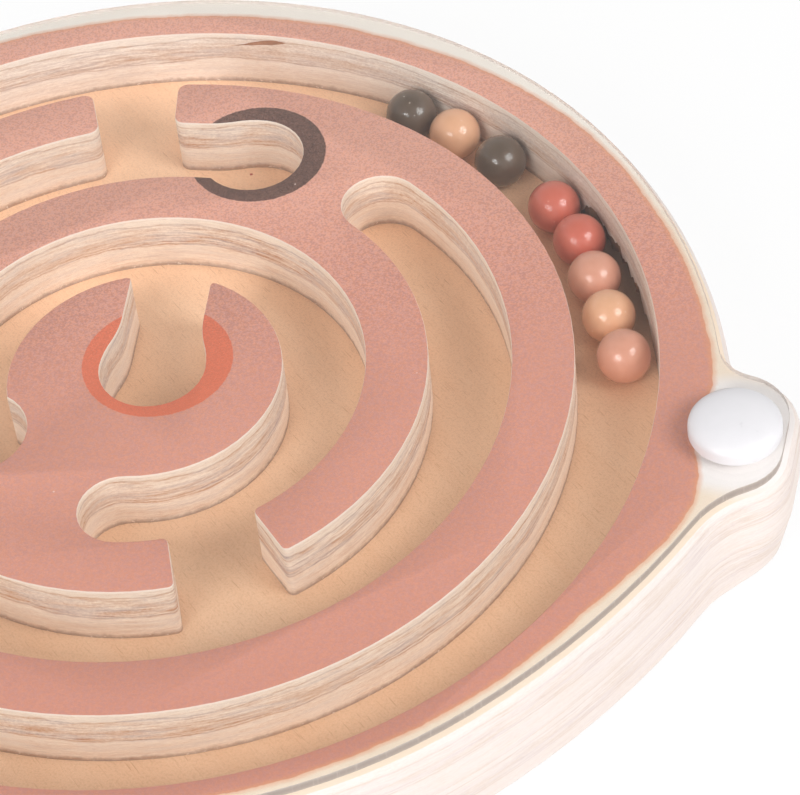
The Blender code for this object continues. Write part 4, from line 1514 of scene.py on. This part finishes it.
@dataclass
class MazeWalls:
    """The routed inner walls in one piece: two rings, the bridges and the island, with four pockets."""

    node: str = "maze_core"
    top: float = WALL_TOP
    edge_break: float = 0.22 * MM
    corner_round: float = 0.9 * MM
    corner_angle: float = 60.0
    neck_reach: float = 5.0 * MM
    neck_turns: Span = (25.0, 36.0)
    neck_cuts: tuple[tuple[float, int], ...] = ((4.0 * MM, 6), (0.9 * MM, 2))

    def build(self) -> None:
        """Eases the necks, rounds the gates' corners, breaks the top edges and dresses the walls."""
        piece = copy_of_node(self.node, "maze_walls")
        self.ease_necks(piece)
        with Bench(piece) as bench:
            corners = bench.select("edges", self.on_corner)
            bpy.ops.mesh.bevel(offset=self.corner_round, segments=4, affect="EDGES", clamp_overlap=True)
            log.info("maze_walls: %d corners rounded", corners)
            bench.select("edges", self.on_top_edge)
            bpy.ops.mesh.bevel(offset=self.edge_break, segments=2, affect="EDGES")
        self.dress(piece)
        smooth(piece)
        hand_over(piece, "board", "pink_print", self.node)

    def ease_necks(self, piece: Piece) -> None:
        """Sweeps each pocket's neck into its channel, as the router's path does.

        Args:
            piece: The maze walls.
        """
        with Bench(piece) as bench:
            necks = self.necks(piece)
            for length, cuts in self.neck_cuts:
                bench.select("edges", lambda e: self.beside_neck(e, necks, length))
                bpy.ops.mesh.subdivide(number_cuts=cuts)
            mesh = bmesh.from_edit_mesh(piece.data)
            for vert in mesh.verts:
                for place, push in necks:
                    gap = (vert.co - place).xy.length / self.neck_reach
                    if gap < 1.0:
                        vert.co += push * (1.0 - gap) ** 2
            bmesh.update_edit_mesh(piece.data)
        log.info("maze_walls: %d necks eased", len(necks))

    def necks(self, piece: Piece) -> list[tuple[Vector, Vector]]:
        """Finds the corners where a pocket meets its channel at a slant.

        Args:
            piece: The maze walls, in edit mode.

        Returns:
            Each corner's place, and how far and which way the sweep cuts it back.
        """
        found = []
        mesh = bmesh.from_edit_mesh(piece.data)
        mesh.normal_update()
        for edge in mesh.edges:
            turn = self.upright_turn(edge)
            if self.neck_turns[0] < math.degrees(turn) < self.neck_turns[1]:
                inward = -(edge.link_faces[0].normal + edge.link_faces[1].normal).normalized()
                inward.z = 0.0
                push = inward * (0.5 * self.neck_reach * math.tan(0.5 * turn))
                found.append((edge.verts[0].co.copy(), push))
        return found

    def beside_neck(self, edge: Edge, necks: list[tuple[Vector, Vector]], length: float) -> bool:
        """Tells whether a level edge runs past a neck and is longer than wanted.

        Args:
            edge: An edge of the walls.
            necks: The necks' places and cuts.
            length: The longest edge that is left alone.

        Returns:
            True where the edge needs cutting up.
        """
        level = abs(edge.verts[0].co.z - edge.verts[1].co.z) < TOUCH
        if not level or edge.calc_length() < length:
            return False
        return any((vert.co - place).xy.length < self.neck_reach for vert in edge.verts for place, _ in necks)

    @staticmethod
    def upright_turn(edge: Edge) -> float:
        """Gives how far the wall turns outward at an upright edge.

        Args:
            edge: An edge of the walls.

        Returns:
            The turn in radians, 0 for other edges.
        """
        run = edge.verts[0].co - edge.verts[1].co
        upright = abs(run.z) > MM and run.xy.length < TOUCH
        return edge.calc_face_angle_signed(0.0) if upright else 0.0

    def on_corner(self, edge: Edge) -> bool:
        """Tells whether an edge is an upright corner that the router left sharp."""
        return self.upright_turn(edge) > math.radians(self.corner_angle)

    def on_top_edge(self, edge: Edge) -> bool:
        """Tells whether an edge runs between the printed top and a wall.

        Args:
            edge: An edge of the walls.

        Returns:
            True on the walls' top edges.
        """
        heights = sorted(abs(face.normal.z) for face in edge.link_faces)
        high = all(vert.co.z > self.top - TOUCH for vert in edge.verts)
        return high and len(heights) == 2 and heights[0] < UPRIGHT and heights[1] > LEVEL

    def dress(self, piece: Piece) -> None:
        """Gives the walls, the top and the underside their finishes."""
        paint_faces(piece, WALL_PLY, (PINK_PRINT, faces_up), (BOARD_UNDERSIDE, faces_down))


@dataclass
class CoverSheet:
    """The clear sheet screwed over the maze."""

    node: str = "clear_cover"
    bottom: float = 18.6 * MM
    seat: float = WALL_TOP

    def build(self) -> None:
        """Sets the sheet down on the wall tops."""
        piece = copy_of_node(self.node, "cover_sheet")
        with Bench(piece) as bench:
            bench.select("verts", lambda v: v.co.z < self.bottom + TOUCH)
            bpy.ops.transform.translate(value=(0.0, 0.0, self.seat + CLEARANCE - self.bottom))
        self.dress(piece)
        smooth(piece)
        hand_over(piece, "board", "clear", self.node)

    def dress(self, piece: Piece) -> None:
        """Gives the sheet its clear faces and its grey sawn edge."""
        paint_faces(piece, CLEAR_COVER, (COVER_EDGE, faces_aside))


@dataclass
class SnapFastener:
    """A white snap cap over the washer and screw that hold the cover on a lug."""

    side: str
    centre: Vector
    radius: float = 6.6 * MM
    seat: float = COVER_TOP
    skirt: float = 21.1 * MM
    crown: float = 23.3 * MM
    wall: float = 0.75 * MM
    tip: float = 0.12 * MM
    rows: int = 9
    around: int = 72
    crease: float = 40.0

    def build(self) -> None:
        """Turns up the cap row by row, hollows it and dresses the fastener."""
        piece = start_piece(bpy.ops.mesh.primitive_circle_add, vertices=self.around, radius=self.radius,
                            fill_type="NGON", location=(self.centre.x, self.centre.y, self.seat + CLEARANCE))
        piece.name = "snap_cap_" + self.side
        piece.data.name = piece.name
        with Bench(piece):
            self.turn_up()
            bpy.ops.mesh.select_all(action="SELECT")
            bpy.ops.mesh.normals_make_consistent(inside=False)
        apply_modifier(piece, "SOLIDIFY", thickness=self.wall, offset=-1.0)
        piece.data.materials.append(CAP_WHITE.material())
        smooth(piece, self.crease)
        hand_over(piece, "board", "white_plastic", "screw_cap_" + self.side)
        self.dress_hidden()

    def turn_up(self) -> None:
        """Extrudes the round base up the skirt and in over the dome."""
        height = self.skirt - self.seat - CLEARANCE
        bpy.ops.mesh.select_all(action="SELECT")
        bpy.ops.mesh.extrude_region_move(TRANSFORM_OT_translate={"value": (0.0, 0.0, height)})
        size, level = self.radius, self.skirt
        for row in range(1, self.rows + 1):
            angle = 0.5 * math.pi * row / self.rows
            next_size = max(self.radius * math.cos(angle), self.tip)
            next_level = self.skirt + (self.crown - self.skirt) * math.sin(angle)
            rise = (0.0, 0.0, next_level - level)
            bpy.ops.mesh.extrude_region_move(TRANSFORM_OT_translate={"value": rise})
            share = next_size / size
            bpy.ops.transform.resize(value=(share, share, 1.0))
            size, level = next_size, next_level

    def dress_hidden(self) -> None:
        """Gives the washer and the screw under the cap their finishes."""
        for kind, finish in (("cap_washer_", WASHER_WHITE), ("cover_screw_", SCREW_STEEL)):
            node = kind + self.side
            kept = frame["nodes"][node]
            kept.data.materials.clear()
            kept.data.materials.append(finish.material())
            log.info("%s: kept, with %s", node, finish.name)


@dataclass
class BallRow:
    """The eight lacquered balls, in their order along the channel."""

    order: tuple[str, ...] = ("dark_1", "tan_1", "dark_2", "red_1", "red_2", "pink_1", "tan_2", "pink_2")
    radius: float = 4.0 * MM
    cuts: int = 15
    crease: float = 60.0

    def build(self) -> None:
        """Rounds up one ball and copies it to each place."""
        pattern = self.round_up()
        for name in self.order:
            colour = BallColour[name.split("_")[0].upper()]
            low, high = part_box("ball_" + name)
            ball = bpy.data.objects.new("lacquer_ball_" + name, pattern.data.copy())
            ball.data.name = ball.name
            ball.data.transform(Matrix.Translation((low + high) / 2))
            bpy.context.scene.collection.objects.link(ball)
            ball.data.materials.append(colour.value.material())
            hand_over(ball, name + "_ball", colour.slot, "ball_" + name)
        bpy.data.objects.remove(pattern)

    def round_up(self) -> Piece:
        """Rounds a cube up to a ball at the origin.

        Returns:
            The pattern ball.
        """
        pattern = start_piece(bpy.ops.mesh.primitive_cube_add, size=2 * self.radius, location=(0.0, 0.0, 0.0))
        with Bench(pattern):
            bpy.ops.mesh.select_all(action="SELECT")
            bpy.ops.mesh.subdivide(number_cuts=self.cuts)
            bpy.ops.transform.tosphere(value=1.0)
        reach = max(vert.co.length for vert in pattern.data.vertices)
        pattern.data.transform(Matrix.Scale(self.radius / reach, 4))
        smooth(pattern, self.crease)
        return pattern


# ---------------------------------------------------------------- studio


@dataclass(frozen=True)
class Softbox:
    """A round studio lamp that faces the maze."""

    name: str
    bearing: tuple[float, float, float]
    distance: float = 1.1
    size: float = 0.6
    power: float = 5.8

    def build(self) -> None:
        """Hangs the lamp."""
        light = bpy.data.lights.new(self.name, "AREA")
        light.energy = self.power
        light.shape = "DISK"
        light.size = self.size
        lamp = bpy.data.objects.new(self.name, light)
        way = Vector(self.bearing).normalized()
        lamp.location = MAZE_CENTRE + way * self.distance
        lamp.rotation_euler = way.to_track_quat("Z", "Y").to_euler()
        bpy.context.scene.collection.objects.link(lamp)


@dataclass(frozen=True)
class Studio:
    """Table, world, lamps and the camera at the photograph's place."""

    elevation: float = 46.7403
    roll: float = -6.70535
    heading: float = PHOTO_BEARING
    lens: float = 150.759
    offset: tuple[float, float, float] = (36.849 * MM, -3.795 * MM, 482.275 * MM)
    aim_height: float = 19.2 * MM
    world_strength: float = 0.45
    horizon: float = 0.72
    ceiling: float = 0.10
    sky_band: Span = (0.52, 0.88)
    sensor: float = 36.0
    table_size: float = 6.0
    table_gap: float = 0.05 * MM
    lamps: tuple[Softbox, ...] = (Softbox("left_softbox", (-0.218, -0.783, 0.578)),
                                  Softbox("right_softbox", (0.734, -0.149, 0.662)))

    def build(self) -> None:
        """Sets the table, the world, the lamps and the camera."""
        self.table()
        self.world()
        for lamp in self.lamps:
            lamp.build()
        self.camera()
        bpy.context.scene.view_settings.view_transform = "Standard"

    def table(self) -> None:
        """Lays the white table just under the board."""
        deselect_all()
        bpy.ops.mesh.primitive_plane_add(size=self.table_size, location=(0.0, 0.0, -self.table_gap))
        top = bpy.context.object
        top.name = "table_top"
        top.data.materials.append(TABLE_WHITE.material())

    def world(self) -> None:
        """Fills the room with even light, white to the camera, and darker overhead in reflections."""
        room = bpy.data.worlds.new("white_room")
        bpy.context.scene.world = room
        room.use_nodes = True
        sheet = NodeSheet(room.node_tree)
        glow = next(n for n in room.node_tree.nodes if n.type == "BACKGROUND")
        glow.inputs["Color"].default_value = (1.0, 1.0, 1.0, 1.0)
        rays = sheet.node("LightPath").outputs
        _, _, rise = sheet.sides(sheet.node("TexCoord").outputs["Generated"])
        wall = sheet.between(sheet.step(rise, *self.sky_band), self.horizon, self.ceiling)
        mirrored = sheet.math("MAXIMUM", rays["Is Glossy Ray"], rays["Is Transmission Ray"])
        strength = sheet.between(mirrored, self.world_strength, wall)
        sheet.feed(glow.inputs["Strength"], sheet.between(rays["Is Camera Ray"], strength, 1.0))

    def camera(self) -> None:
        """Stands the camera where the photograph was taken from."""
        tilt = math.radians(self.elevation)
        back = Vector((0.0, -math.cos(tilt), math.sin(tilt)))
        right = Vector((1.0, 0.0, 0.0))
        up = back.cross(right)
        axes = Matrix((right, up, back))
        turn = math.radians(self.roll)
        cosine, sine = math.cos(turn), math.sin(turn)
        level = Matrix(((cosine, sine, 0.0), (-sine, cosine, 0.0), (0.0, 0.0, 1.0)))
        stand = Matrix.Rotation(math.radians(self.heading), 3, "Z") @ (level @ axes).transposed()
        data = bpy.data.cameras.new("photo_camera")
        data.sensor_width = self.sensor
        data.sensor_fit = "HORIZONTAL"
        data.lens = self.lens
        data.dof.use_dof = False
        seat = bpy.data.objects.new("photo_camera", data)
        place = MAZE_CENTRE + Vector((0.0, 0.0, self.aim_height)) + stand @ Vector(self.offset)
        seat.matrix_world = Matrix.Translation(place) @ stand.to_4x4()
        bpy.context.scene.collection.objects.link(seat)
        bpy.context.scene.camera = seat


def main() -> None:
    """Builds and dresses each sub-assembly, then the studio."""
    FloorBoard().build()
    RimWall().build()
    MazeWalls().build()
    CoverSheet().build()
    for side, reach in (("right", CAP_REACH), ("left", -CAP_REACH)):
        SnapFastener(side, Vector((reach, 0.0, 0.0))).build()
    BallRow().build()
    Studio().build()


if __name__ == "__main__":
    main()
